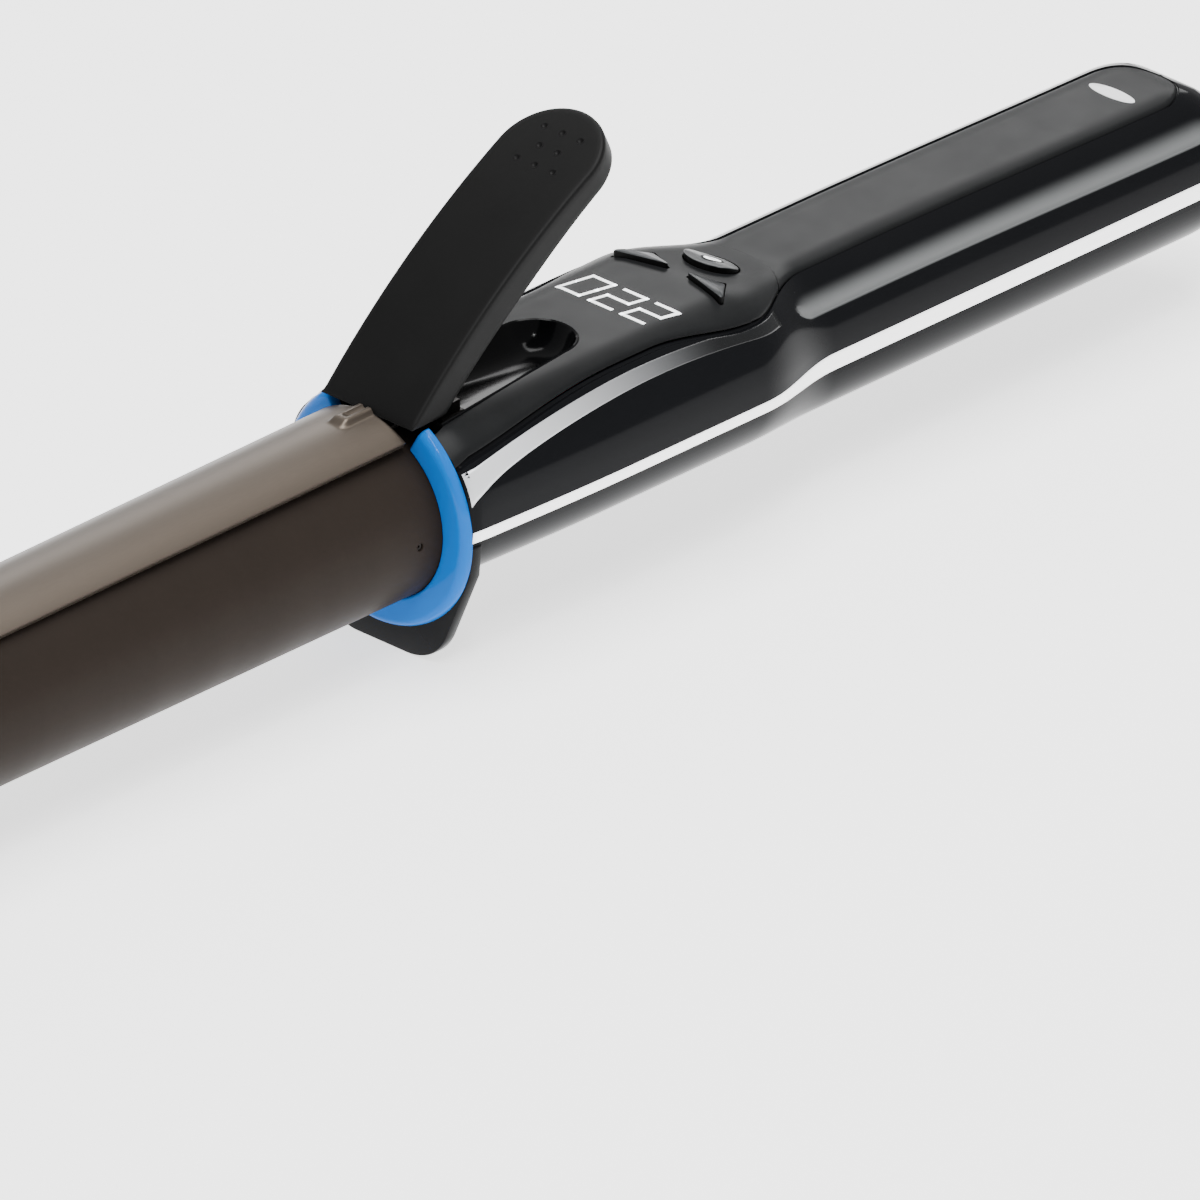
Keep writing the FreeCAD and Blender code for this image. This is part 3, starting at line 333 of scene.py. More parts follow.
# Painted reflection: silver at the ring fading to near black towards the waist stands in for a softbox's
# reflection on the front body's sides.
SOFTBOX_REFLECTION = FadeFinish("accent_silver", "accent_silver", (0.72, 0.73, 0.75), (0.66, 0.67, 0.69), 0.24,
                    metallic=0.2, relief=0.03, fade=(0.008, 0.0085, 0.009), begin=4.0, finish=66.0)
STEEL = Finish("plated_steel", "steel", (0.55, 0.55, 0.54), (0.42, 0.42, 0.41), 0.3, metallic=1.0,
               grain=Grain.ALONG, relief=0.1)
SCREW = Finish("blackened_screw", "steel", (0.035, 0.032, 0.030), (0.025, 0.023, 0.022), 0.45, metallic=0.8)
SPRING = Finish("spring_wire", "spring_steel", (0.34, 0.34, 0.35), (0.24, 0.24, 0.25), 0.3, metallic=1.0)
INNER_FINISHES = {
    "heat_plastic": Finish("heat_plastic", "heat_plastic", (0.03, 0.028, 0.026), (0.022, 0.02, 0.019), 0.5,
                           relief=0.2),
    "aluminium": Finish("pressed_aluminium", "aluminium", (0.72, 0.73, 0.74), (0.6, 0.61, 0.62), 0.35,
                        metallic=1.0, grain=Grain.ALONG, relief=0.15),
    "ceramic": Finish("heater_ceramic", "ceramic", (0.78, 0.77, 0.74), (0.66, 0.64, 0.6), 0.6,
                      relief=0.3),
    "insulation": Finish("amber_film", "insulation", (0.55, 0.27, 0.04), (0.45, 0.2, 0.03), 0.2, coat=0.6),
    "glass_bead": Finish("glazed_bead", "glass_bead", (0.7, 0.5, 0.26), (0.6, 0.4, 0.2), 0.15, coat=0.8),
    "board_green": Finish("solder_mask", "board_green", (0.015, 0.13, 0.05), (0.02, 0.17, 0.07), 0.25,
                          coat=0.4),
    "display_black": Finish("display_black", "display_black", (0.015, 0.015, 0.016),
                            (0.02, 0.02, 0.02), 0.15),
    "chip_black": Finish("chip_black", "chip_black", (0.025, 0.025, 0.025), (0.035, 0.035, 0.035), 0.6,
                         relief=0.3),
    "capacitor_blue": Finish("capacitor_blue", "capacitor_blue", (0.02, 0.08, 0.3), (0.03, 0.1, 0.36),
                             0.3),
    "mat_rubber": Finish("mat_rubber", "mat_rubber", (0.12, 0.12, 0.12), (0.16, 0.16, 0.16), 0.7,
                         relief=0.3),
    "brass": Finish("contact_brass", "brass", (0.68, 0.48, 0.18), (0.55, 0.38, 0.14), 0.25,
                    metallic=1.0),
    "lead_red": Finish("lead_red", "lead_red", (0.4, 0.04, 0.03), (0.34, 0.03, 0.025), 0.55, relief=0.15),
    "lead_grey": Finish("lead_grey", "lead_grey", (0.32, 0.32, 0.33), (0.26, 0.26, 0.27), 0.55, relief=0.15),
    "steel": STEEL,
    "foot_black": FOOT,
}


# ------------------------------------------------------------------------------------ mesh tools
def mesh_object(name: str, verts: Sequence[Vector], faces: Sequence[Sequence[int]],
                finish: Finish) -> Piece:
    """A smooth-shaded mesh object at the origin, with its finish.

    Args:
        name: Name of the piece.
        verts: Places in metres.
        faces: Corner indices of each face.
        finish: The piece's finish.

    Returns:
        The new object.
    """
    mesh = bpy.data.meshes.new(name)
    mesh.from_pydata([tuple(v) for v in verts], [], [tuple(f) for f in faces])
    mesh.update()
    obj = bpy.data.objects.new(name, mesh)
    bpy.context.scene.collection.objects.link(obj)
    obj.data.materials.append(finish.material())
    tidy_mesh(obj)
    return obj


def tidy_mesh(obj: Piece, outward: bool = True, sharp_deg: float = 35.0) -> None:
    """Merge doubles, point faces outwards and keep sharp edges sharp.

    Args:
        obj: The mesh object.
        outward: Recalculate the normals as well.
        sharp_deg: Edges that bend more than this stay sharp.
    """
    bm = bmesh.new()
    bm.from_mesh(obj.data)
    bmesh.ops.remove_doubles(bm, verts=bm.verts, dist=1e-7)
    if outward:
        bmesh.ops.recalc_face_normals(bm, faces=bm.faces)
    for face in bm.faces:
        face.smooth = True
    for edge in bm.edges:
        if len(edge.link_faces) == 2:
            edge.smooth = edge.calc_face_angle(0.0) < math.radians(sharp_deg)
    bm.to_mesh(obj.data)
    bm.free()
    obj.data.update()


def grid_faces(rows: int, cols: int, wrap_rows: bool = False,
               wrap_cols: bool = False) -> list[tuple[int, ...]]:
    """Quads over a grid of vertices stored row by row.

    Args:
        rows: Number of rows.
        cols: Number of columns.
        wrap_rows: Join the last row to the first.
        wrap_cols: Join the last column to the first.

    Returns:
        Corner indices of each quad.
    """
    faces = []
    for i in range(rows if wrap_rows else rows - 1):
        for j in range(cols if wrap_cols else cols - 1):
            after = (i + 1) % rows * cols
            beside = (j + 1) % cols
            faces.append((i * cols + j, i * cols + beside, after + beside, after + j))
    return faces


def turned(name: str, profile: Sequence[Flat], finish: Finish, steps: int = 96) -> Piece:
    """A closed profile of (x, radius) turned about the barrel axis.

    Args:
        name: Name of the piece.
        profile: Closed outline in mm, in order.
        finish: The piece's finish.
        steps: Facets round the axis.

    Returns:
        The new object.
    """
    verts = []
    for i in range(steps):
        angle = 2 * math.pi * i / steps
        verts += [Axes.at(x, r * math.sin(angle), r * math.cos(angle)) for x, r in profile]
    return mesh_object(name, verts, grid_faces(steps, len(profile), True, True), finish)


def rounded(corners: Sequence[tuple[float, float, float]], steps: int = 6) -> list[Flat]:
    """A closed outline whose corners are rounded by arcs.

    Args:
        corners: (x, y, radius) of each corner in order.
        steps: Pieces in each arc.

    Returns:
        Points of the outline.
    """
    points = []
    total = len(corners)
    for i, (x, y, radius) in enumerate(corners):
        here = Vector((x, y))
        before = Vector(corners[i - 1][:2]) - here
        after = Vector(corners[(i + 1) % total][:2]) - here
        if radius <= 0:
            points.append((x, y))
            continue
        half = before.angle(after) / 2
        reach = radius / math.tan(half)
        start = here + before.normalized() * reach
        end = here + after.normalized() * reach
        centre = here + (before.normalized() + after.normalized()).normalized() * (radius / math.sin(half))
        first = start - centre
        sweep = first.angle_signed(end - centre)
        for k in range(steps + 1):
            arm = first.copy()
            arm.rotate(Matrix.Rotation(-sweep * k / steps, 2))
            points.append(tuple(centre + arm))
    return points


def lofted(name: str, loops: Sequence[Loop], finish: Finish, ends: bool = True) -> Piece:
    """A skin through closed loops of equal length, with both ends filled.

    Args:
        name: Name of the piece.
        loops: Loops of places in mm.
        finish: The piece's finish.
        ends: Fill the first and the last loop.

    Returns:
        The new object.
    """
    count = len(loops[0])
    verts = [Axes.at(*p) for loop in loops for p in loop]
    faces = grid_faces(len(loops), count, False, True)
    if ends:
        last = (len(loops) - 1) * count
        faces.append(tuple(range(count)))
        faces.append(tuple(last + i for i in range(count)))
    return mesh_object(name, verts, faces, finish)


def thicken(obj: Piece, depth_mm: float) -> None:
    """Give an open skin a wall, inwards from its faces.

    Args:
        obj: The skin.
        depth_mm: Thickness of the wall, in mm.
    """
    wall = obj.modifiers.new("wall", "SOLIDIFY")
    wall.thickness = depth_mm * MM
    wall.offset = -1.0
    bake(obj)


def soften(obj: Piece, width_mm: float, deg: float = 40.0) -> None:
    """Round every sharp edge a little.

    Args:
        obj: The piece.
        width_mm: Width of the rounding, in mm.
        deg: Edges that bend less than this stay as they are.
    """
    bevel = obj.modifiers.new("edge", "BEVEL")
    bevel.width = width_mm * MM
    bevel.segments = 2
    bevel.limit_method = "ANGLE"
    bevel.angle_limit = math.radians(deg)
    bake(obj)


def bake(obj: Piece) -> None:
    """Turn an object's modifiers into plain mesh.

    Args:
        obj: The piece.
    """
    graph = bpy.context.evaluated_depsgraph_get()
    graph.update()
    mesh = bpy.data.meshes.new_from_object(obj.evaluated_get(graph))
    obj.modifiers.clear()
    obj.data = mesh
    mesh.name = obj.name


def cut(obj: Piece, tool: Piece, keep_common: bool = False) -> None:
    """Take a tool's volume away from an object, or keep only what they share.

    Args:
        obj: Object that is cut.
        tool: Cutting object, removed afterwards.
        keep_common: Keep the common volume instead.
    """
    step = obj.modifiers.new("cut", "BOOLEAN")
    step.operation = "INTERSECT" if keep_common else "DIFFERENCE"
    step.solver = "EXACT"
    step.object = tool
    bake(obj)
    bpy.data.objects.remove(tool)


def prism(name: str, outline: Sequence[Flat], low: float, high: float) -> Piece:
    """An upright cutting prism over an outline in x and y."""
    loops = [[(x, y, z) for x, y in outline] for z in (low, high)]
    return lofted(name, loops, STEEL)


def settle(obj: Piece, body: str, finish: Finish, *nodes: str) -> Piece:
    """Register a finished piece with the frame and report it.

    Args:
        obj: The piece.
        body: CAD body that it rides on.
        finish: Not used.
        nodes: CAD nodes that it stands for.

    Returns:
        The same piece.
    """
    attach(obj, body)
    if nodes:
        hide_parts(*nodes)
    LOG.info("%s: %d faces on %s", obj.name, len(obj.data.polygons), body)
    return obj


# ------------------------------------------------------------------------------------ handle form
@dataclass(frozen=True)
class Section:
    """Rounded rectangle across the handle; distances run from the top's middle down one side."""

    half: float
    base: float
    top: float
    corner: float

    def by_half_width(self, y: float) -> float:
        """Distance at which the upper surface reaches a half width.

        Args:
            y: Half width in mm.

        Returns:
            Distance from the top's middle.
        """
        flat = self.half - self.corner
        if y <= flat:
            return y
        return flat + self.corner * math.asin(min((y - flat) / self.corner, 1.0))

    def by_height(self, z: float) -> float:
        """Distance at which the side reaches a height.

        Args:
            z: Height in mm.

        Returns:
            Distance from the top's middle.
        """
        start = self.half - self.corner
        shoulder = self.top - self.corner
        hip = self.base + self.corner
        if z >= shoulder:
            return start + self.corner * math.acos(min((z - shoulder) / self.corner, 1.0))
        quarter = start + self.corner * math.pi / 2
        if z >= hip:
            return quarter + shoulder - z
        return quarter + shoulder - hip + self.corner * math.asin(min((hip - z) / self.corner, 1.0))

    def length(self) -> float:
        """Distance to the bottom's middle."""
        side = self.top - self.base - 2 * self.corner
        return 2 * (self.half - self.corner) + self.corner * math.pi + side

    def point(self, distance: float, inset: float = 0.0) -> Flat:
        """Half width and height at a distance, pulled in square to the surface.

        Args:
            distance: Distance from the top's middle.
            inset: Depth below the surface.

        Returns:
            (y, z) in mm.
        """
        flat = self.half - self.corner
        quarter = self.corner * math.pi / 2
        side = self.top - self.base - 2 * self.corner
        if distance <= flat:
            return distance, self.top - inset
        distance -= flat
        radius = self.corner - inset
        if distance <= quarter:
            turn = distance / self.corner
            return flat + radius * math.sin(turn), self.top - self.corner + radius * math.cos(turn)
        distance -= quarter
        if distance <= side:
            return self.half - inset, self.top - self.corner - distance
        distance -= side
        if distance <= quarter:
            turn = distance / self.corner
            return flat + radius * math.cos(turn), self.base + self.corner - radius * math.sin(turn)
        return max(flat - (distance - quarter), 0.0), self.base + inset


@dataclass
class HandleForm:
    """Driving sizes of the handle's outer form, the same as the frame's."""

    front: float = Axes.span("lower_housing")[0].x
    end: float = 197.0
    nose: float = 13.0
    front_half: float = 22.6
    front_narrow: float = 1.5
    rise_over: Flat = (-16.0, 39.0)
    front_top: float = 17.9
    front_base: float = 11.0
    front_round: float = 13.5
    rear_half: float = 17.5
    rear_top: float = 14.9
    rear_base: float = 13.6
    rear_round: float = 12.5
    waist: Flat = (72.0, 94.0)
    end_drop: float = 1.1
    seam_ring: float = 17.3
    seam_mid: float = 14.2
    seam_bulge: float = 17.3
    seam_rear: float = 9.0
    disc_x: float = 73.5
    disc_rad: float = 17.15
    cover_end: float = 192.0
    drop_begin: float = 110.0
    seam_dip: Flat = (1.0, 44.0)
    seam_swell: float = 52.0
    lip_drop: float = 0.7
    lip_run: float = 3.5
    nose_inset: float = 8.0

    def section(self, x: float) -> Section:
        """The outer section at a station.

        Args:
            x: Station behind the ring.

        Returns:
            The rounded rectangle there.
        """
        flat_x = min(x, self.end - self.nose)
        turn = ease(flat_x, *self.waist)
        rise = ease(flat_x, *self.rise_over)
        half = mix(self.front_half - self.front_narrow * (1 - rise), self.rear_half, turn)
        top = mix(self.front_top, self.rear_top, turn)
        top -= self.end_drop * ease(flat_x, self.drop_begin, self.end)
        base = -mix(self.front_base, self.rear_base, turn)
        corner = mix(self.front_round, self.rear_round, turn)
        lip = self.lip_drop * (1 - ease(x, self.front, self.front + self.lip_run))
        half, top = half - 0.3 * lip, top - lip
        over = x - (self.end - self.nose)
        if over > 0:
            part = min(over / (self.nose * 1.03), 1.0)
            inset = (1 - math.sqrt(1 - part ** 3)) * self.nose_inset
            half, base, top = half - inset, base + inset, top - inset
            corner = min(max(corner - inset, 1.0), half - 0.5, (top - base) / 2 - 0.2)
        return Section(half, base, top, corner)

    def seam_half(self, x: float) -> float:
        """Half width of the top covers at a station.

        Args:
            x: Station behind the ring.

        Returns:
            Half width in mm; 0 past the covers' end.
        """
        if x < self.disc_x:
            half = mix(self.seam_ring, self.seam_mid, ease(x, *self.seam_dip))
            return mix(half, self.seam_bulge, ease(x, self.seam_swell, self.disc_x))
        if x < self.cover_end - self.seam_rear:
            return mix(self.seam_bulge, self.seam_rear, ease(x, self.disc_x, self.waist[1]))
        over = x - (self.cover_end - self.seam_rear)
        return math.sqrt(max(self.seam_rear ** 2 - over ** 2, 0.0))

    def height(self, x: float, y: float) -> float:
        """Height of the upper surface at a place."""
        section = self.section(x)
        return section.point(section.by_half_width(abs(y)))[1]

    def stations(self, start: float, stop: float, step: float) -> list[float]:
        """Evenly spaced stations.

        Args:
            start: First station.
            stop: Last station.
            step: Distance wanted between them.

        Returns:
            The stations, both ends included.
        """
        count = max(round((stop - start) / step), 1)
        return [start + (stop - start) * i / count for i in range(count + 1)]


FORM = HandleForm()


@dataclass
class Housing:
    """Gloss lower housing with its shadow gap, finger grooves with painted highlights, glowing white stripes
    painted as highlights, and crescents painted as a softbox's reflection.
    """

    wall: float = 1.8
    gap_wide: float = 1.5
    gap_deep: float = 0.9
    groove_start: float = 86.5
    groove_stop: float = 190.0
    groove_deep: float = 0.9
    groove_top: float = 12.3
    groove_lip: float = 8.6
    groove_reach: float = 4.5
    # Band 3 carries the painted softbox reflection in front and the painted groove highlight behind.
    sheen_end: float = 77.0
    sheen_turn: float = 88.0
    gap_narrows: Flat = (68.0, 84.0)
    flare_reach: float = 4.5
    least_band: float = 0.15
    end_hole: float = 5.75
    end_profile: tuple[Flat, ...] = ((-0.35, 0.0), (0.0, 0.06), (0.25, 0.5), (0.2, 0.9), (-0.2, 1.0),
                                     (-2.4, 1.0), (-2.4, 0.0))
    seam_play: float = 0.12
    sheen_over: tuple[Point, Point, Point] = ((2.3, 0, 11.9), (42.0, 0, 15.5), (77.0, 0, 13.9))
    sheen_under: tuple[Point, Point, Point] = ((6.0, 0, 9.7), (42.0, 0, 13.6), (77.0, 0, 12.1))
    sheen_flare: float = 2.6
    stripe_mid: Flat = (0.8, -0.1)
    stripe_half: Flat = (1.05, 1.55)
    bands: tuple[int, ...] = (5, 3, 14, 10, 6, 22)

    @staticmethod
    def arc_height(points: tuple[Point, Point, Point], x: float) -> float:
        """Height at a station of the parabola through three places.

        Args:
            points: The three places.
            x: Station behind the ring.

        Returns:
            Height in mm.
        """
        (x0, _, z0), (x1, _, z1), (x2, _, z2) = points
        first = z0 * (x - x1) * (x - x2) / ((x0 - x1) * (x0 - x2))
        second = z1 * (x - x0) * (x - x2) / ((x1 - x0) * (x1 - x2))
        third = z2 * (x - x0) * (x - x1) / ((x2 - x0) * (x2 - x1))
        return first + second + third

    def edges(self, x: float) -> list[float]:
        """Edges of the bands down one side at a station.

        Args:
            x: Station behind the ring.

        Returns:
            Distances from the top's middle.
        """
        section = FORM.section(x)
        turn = ease(x, self.sheen_end, self.sheen_turn)
        half_seam = max(FORM.seam_half(x), 0.0)
        seam = section.by_half_width(half_seam) + min(half_seam, self.seam_play)
        gap = seam + self.gap_wide * mix(1.0, 0.3, ease(x, *self.gap_narrows))
        near = min(x, self.sheen_end)
        drop = FORM.section(min(x, FORM.end - FORM.nose)).top - FORM.rear_top
        over = mix(self.arc_height(self.sheen_over, near), self.groove_top + drop, turn)
        flare = self.sheen_flare * math.exp((FORM.front - x) / self.flare_reach)
        under = mix(self.arc_height(self.sheen_under, near) - flare, self.groove_lip + drop, turn)
        waist = ease(x, *FORM.waist)
        middle = mix(*self.stripe_mid, waist)
        half = mix(*self.stripe_half, waist)
        total = section.length()
        wanted = [seam, gap, section.by_height(over), section.by_height(under),
                  section.by_height(middle + half), section.by_height(middle - half), total]
        for i in range(1, 7):
            wanted[i] = max(wanted[i], wanted[i - 1] + self.least_band)
        spill = wanted[-1] / total
        return [min(w / spill, total) if spill > 1 else w for w in wanted]

    def groove_depth(self, x: float, part: float) -> float:
        """Depth of the finger groove: scooped towards a sharp lower lip, with rounded ends.

        Args:
            x: Station behind the ring.
            part: Share of the way across the groove's band.

        Returns:
            Share of the full depth.
        """
        if x < self.groove_start or x > self.groove_stop:
            return 0.0
        into = min(x - self.groove_start, self.groove_stop - x) / self.groove_reach
        crown = math.sqrt(max(1 - (1 - min(into, 1.0)) ** 2, 0.0))
        local = (part - 0.5) / (0.5 * max(crown, 0.05))
        if abs(local) >= 1:
            return 0.0
        return crown * ease(local, -1.0, 0.75) * (1 - ease(local, 0.86, 1.0))

    def ring(self, x: float, side: int) -> list[tuple[Point, float]]:
        """Places down one side at a station, with the groove's painted highlight at each.

        Args:
            x: Station behind the ring.
            side: -1 for the near side, 1 for the far side.

        Returns:
            (place, painted highlight) from the seam down to the bottom's middle.
        """
        section = FORM.section(x)
        edges = self.edges(x)
        places = []
        fade = 1 - ease(x, FORM.end - FORM.nose - 2, FORM.end - 2)
        sunk = self.gap_deep * fade if FORM.seam_half(x) > 0 else 0.0
        y, z = section.point(edges[0], sunk)
        places.append(((x, side * y, z), 0.0))
        for band, count in enumerate(self.bands, start=1):
            start, stop = edges[band - 1], edges[band]
            for k in range(count):
                part = k / count
                distance = mix(start, stop, part)
                inset, paint = 0.0, 0.0
                if band == 1:
                    inset = sunk * (1 - ease(part, 0.55, 1.0))
                if band == 3:
                    scoop = self.groove_depth(x, part)
                    inset = self.groove_deep * scoop
                    # The groove's depth also sets its painted highlight, lightest towards the lower lip.
                    paint = scoop
                y, z = section.point(distance, inset)
                places.append(((x, side * y, z), paint))
        y, z = section.point(edges[-1])
        places.append(((x, side * y, z), 0.0))
        return places

    def build(self) -> None:
        """Make the housing's skin, then its wall, and the bright trims on it."""
        stations = FORM.stations(FORM.front, 70.0, 2.4) + FORM.stations(70.6, 98.0, 0.6)
        stations += FORM.stations(99.5, FORM.end - FORM.nose, 2.4)
        stations += FORM.stations(FORM.end - FORM.nose + 0.5, FORM.end, 0.5)
        rows = []
        for x in stations:
            near = self.ring(x, -1)
            far = self.ring(x, 1)
            rows.append(near + far[::-1][1:])
        cols = len(rows[0])
        verts = [Axes.at(*place) for row in rows for place, _ in row]
        paint = [value for row in rows for _, value in row]
        obj = mesh_object("housing_shell", verts, [], GLOSS)
        mesh = obj.data
        mesh.clear_geometry()
        faces = grid_faces(len(rows), cols)
        mesh.from_pydata([tuple(v) for v in verts], [], faces)
        # The groove attribute carries the painted highlight that the gloss finish reads.
        layer = mesh.attributes.new("groove", "FLOAT", "POINT")
        layer.data.foreach_set("value", paint)
        tidy_mesh(obj, sharp_deg=38.0)
        self.face_out(obj)
        thicken(obj, self.wall)
        settle(obj, "handle", GLOSS, "lower_housing")
        self.end_wall()
        self.stripes()
        self.accents()

    @staticmethod
    def face_out(obj: Piece) -> None:
        """Turn an open skin's faces away from the barrel axis.

        Args:
            obj: The skin.
        """
        mesh = obj.data
        centre = Axes.at(0, 0, 1.0)
        score = 0.0
        for poly in mesh.polygons:
            away = poly.center - Vector((poly.center.x, centre.y, centre.z))
            score += poly.normal.dot(away) * poly.area
        if score < 0:
            mesh.flip_normals()

    def end_wall(self) -> None:
        """Close the handle's end round the swivel gland's hole."""
        section = FORM.section(FORM.end)
        total = section.length()
        outer = []
        for side in (-1, 1):
            row = [section.point(total * i / 36) for i in range(37)]
            outer.append([(FORM.end, side * y, z) for y, z in row])
        ring = outer[0] + outer[1][::-1][1:-1]
        loops = []
        for x_shift, part in self.end_profile:
            loop = []
            for x, y, z in ring:
                away = Vector((y, z + 0.1)).normalized() * self.end_hole
                loop.append((x + x_shift, mix(y, away.x, part), mix(z, away.y, part)))
            loops.append(loop)
        verts = [Axes.at(*p) for loop in loops for p in loop]
        obj = mesh_object("housing_end_wall", verts, grid_faces(len(loops), len(ring), True, True), GLOSS)
        settle(obj, "handle", GLOSS)

    def patch(self, name: str, finish: Finish, stations: Sequence[float], band: int, rows: int,
              proud: float, depth: float, taper: Callable[[float], float], *nodes: str) -> None:
        """A thin inlay over one band of the housing, on both sides.

        Args:
            name: Name of the pieces.
            finish: Finish of the inlay.
            stations: Stations that it spans.
            band: Band of the housing that it covers.
            rows: Rows across the band.
            proud: How far it stands out, in mm.
            depth: Its thickness, in mm.
            taper: Share of the band's width that it keeps at a station.
            nodes: CAD nodes that it stands for.
        """
        verts, faces = [], []
        for side in (-1, 1):
            offset = len(verts)
            for x in stations:
                edges = self.edges(x)
                middle = (edges[band - 1] + edges[band]) / 2
                half = (edges[band] - edges[band - 1]) / 2 * taper(x)
                section = FORM.section(x)
                for k in range(rows + 1):
                    y, z = section.point(middle + half * (2 * k / rows - 1), -proud)
                    verts.append(Axes.at(x, side * y, z))
            for quad in grid_faces(len(stations), rows + 1):
                faces.append([i + offset for i in quad])
        obj = mesh_object(name, verts, faces, finish)
        self.face_out(obj)
        thicken(obj, depth)
        settle(obj, "handle", finish, *nodes)

    def stripes(self) -> None:
        """Glowing white stripes along both sides: a painted highlight standing in for a strip light's
        reflection.
        """
        stations = FORM.stations(FORM.front + 0.3, 70.0, 2.0) + FORM.stations(70.6, 98.0, 0.6)
        stations += FORM.stations(99.0, 190.0, 2.0)

        def taper(x: float) -> float:
            """Full width, narrowing to a point at the rear end."""
            return math.sqrt(max(1 - ease(x, 182.0, 190.5) ** 2, 0.02))

        self.patch("side_stripe", STRIPE_HIGHLIGHT, stations, 5, 4, 0.07, 0.5, taper, "side_stripes")

    def accents(self) -> None:
        """Crescents on the front body, silver fading to near black: a painted reflection of a softbox."""
        stations = FORM.stations(FORM.front + 0.3, 80.0, 1.2)
        self.patch("side_accent", SOFTBOX_REFLECTION, stations, 3, 8, 0.05, 0.4, lambda x: 1.0, "side_accents")


@dataclass
class TopCovers:
    """Satin control panel and grip cover, cut from one rolled-edge strip."""

    wall: float = 1.9
    roll: float = 0.8
    roll_drop: float = 0.5
    step_down: float = 0.14
    columns: int = 44
    edge_round: float = 0.16
    beyond: float = 26.0
    cut_span: Flat = (-5.0, 30.0)
    inlay_back: float = 12.0
    inlay_half: Flat = (1.6, 5.2)

    def strip(self, name: str, lower: float) -> Piece:
        """The whole strip over the handle's top, before it is cut in two.

        Args:
            name: Name of the object.
            lower: How far below the form its surface lies.

        Returns:
            A closed strip with rolled edges.
        """
        tail = FORM.cover_end - FORM.seam_rear
        stations = FORM.stations(FORM.front, FORM.disc_x, 1.6)
        stations += FORM.stations(FORM.disc_x + 0.8, 96.0, 0.8) + FORM.stations(98.0, tail, 2.5)
        stations += [tail + FORM.seam_rear * math.sin(math.pi / 2 * i / 16) for i in range(1, 16)]
        verts = []
        for x in stations:
            half = FORM.seam_half(x)
            roll = min(self.roll, half * 0.5)
            for k in range(self.columns + 1):
                along = -1 + 2 * k / self.columns
                share = math.sin(along * math.pi / 2)
                y = share * half
                over = max(abs(y) - (half - roll), 0.0) / roll
                drop = self.roll_drop * (1 - math.sqrt(max(1 - over * over, 0.0)))
                verts.append(Axes.at(x, y, FORM.height(x, y) - drop - lower))
        obj = mesh_object(name, verts, grid_faces(len(stations), self.columns + 1), SATIN)
        Housing.face_out(obj)
        thicken(obj, self.wall)
        return obj

    def zone(self, grow: float) -> Piece:
        """Cutting prism ahead of and over the panel's round end.

        Args:
            grow: Distance outwards from the panel's edge.

        Returns:
            The prism.
        """
        radius = FORM.disc_rad + grow
        ahead, beside = FORM.front - 5, FORM.disc_x - 0.01
        outline = [(ahead, -self.beyond), (beside, -self.beyond)]
        for i in range(61):
            angle = -math.pi / 2 + math.pi * i / 60
            outline.append((FORM.disc_x + radius * math.cos(angle), radius * math.sin(angle)))
        outline += [(beside, self.beyond), (ahead, self.beyond)]
        return prism("panel_zone", outline, *self.cut_span)

    def build(self) -> None:
        """Cut the strip into panel and grip cover, and open the panel for well and keys."""
        panel = self.strip("control_panel_top", 0.0)
        cut(panel, self.zone(0.0), keep_common=True)
        cut(panel, prism("well_hole", LeverWell().outline(-0.05), *self.cut_span))
        for key in Keys().outlines(0.3).values():
            cut(panel, prism("key_hole", key, *self.cut_span))
        self.trim(panel, "control_panel")
        cover = self.strip("grip_cover_top", self.step_down)
        cut(cover, self.zone(0.14))
        self.trim(cover, "grip_cover")
        self.inlay()

    def trim(self, cover: Piece, node: str) -> None:
        """Round a cut cover's edges and register it.

        Args:
            cover: The cover.
            node: CAD node that it stands for.
        """
        tidy_mesh(cover, outward=False)
        soften(cover, self.edge_round)
        tidy_mesh(cover, outward=False)
        settle(cover, "handle", SATIN, node)

    def inlay(self) -> None:
        """Plain white oval let into the end of the grip cover."""
        centre = FORM.cover_end - self.inlay_back
        loops = []
        for share, lift in ((1.0, -0.3), (1.0, 0.04), (0.96, 0.1), (0.5, 0.12), (0.02, 0.12)):
            loop = []
            for i in range(40):
                angle = 2 * math.pi * i / 40
                x = centre + self.inlay_half[0] * share * math.cos(angle)
                y = self.inlay_half[1] * share * math.sin(angle)
                loop.append((x, y, FORM.height(x, y) - self.step_down + lift))
            loops.append(loop)
        settle(lofted("end_inlay_oval", loops, INLAY), "handle", INLAY, "end_inlay")


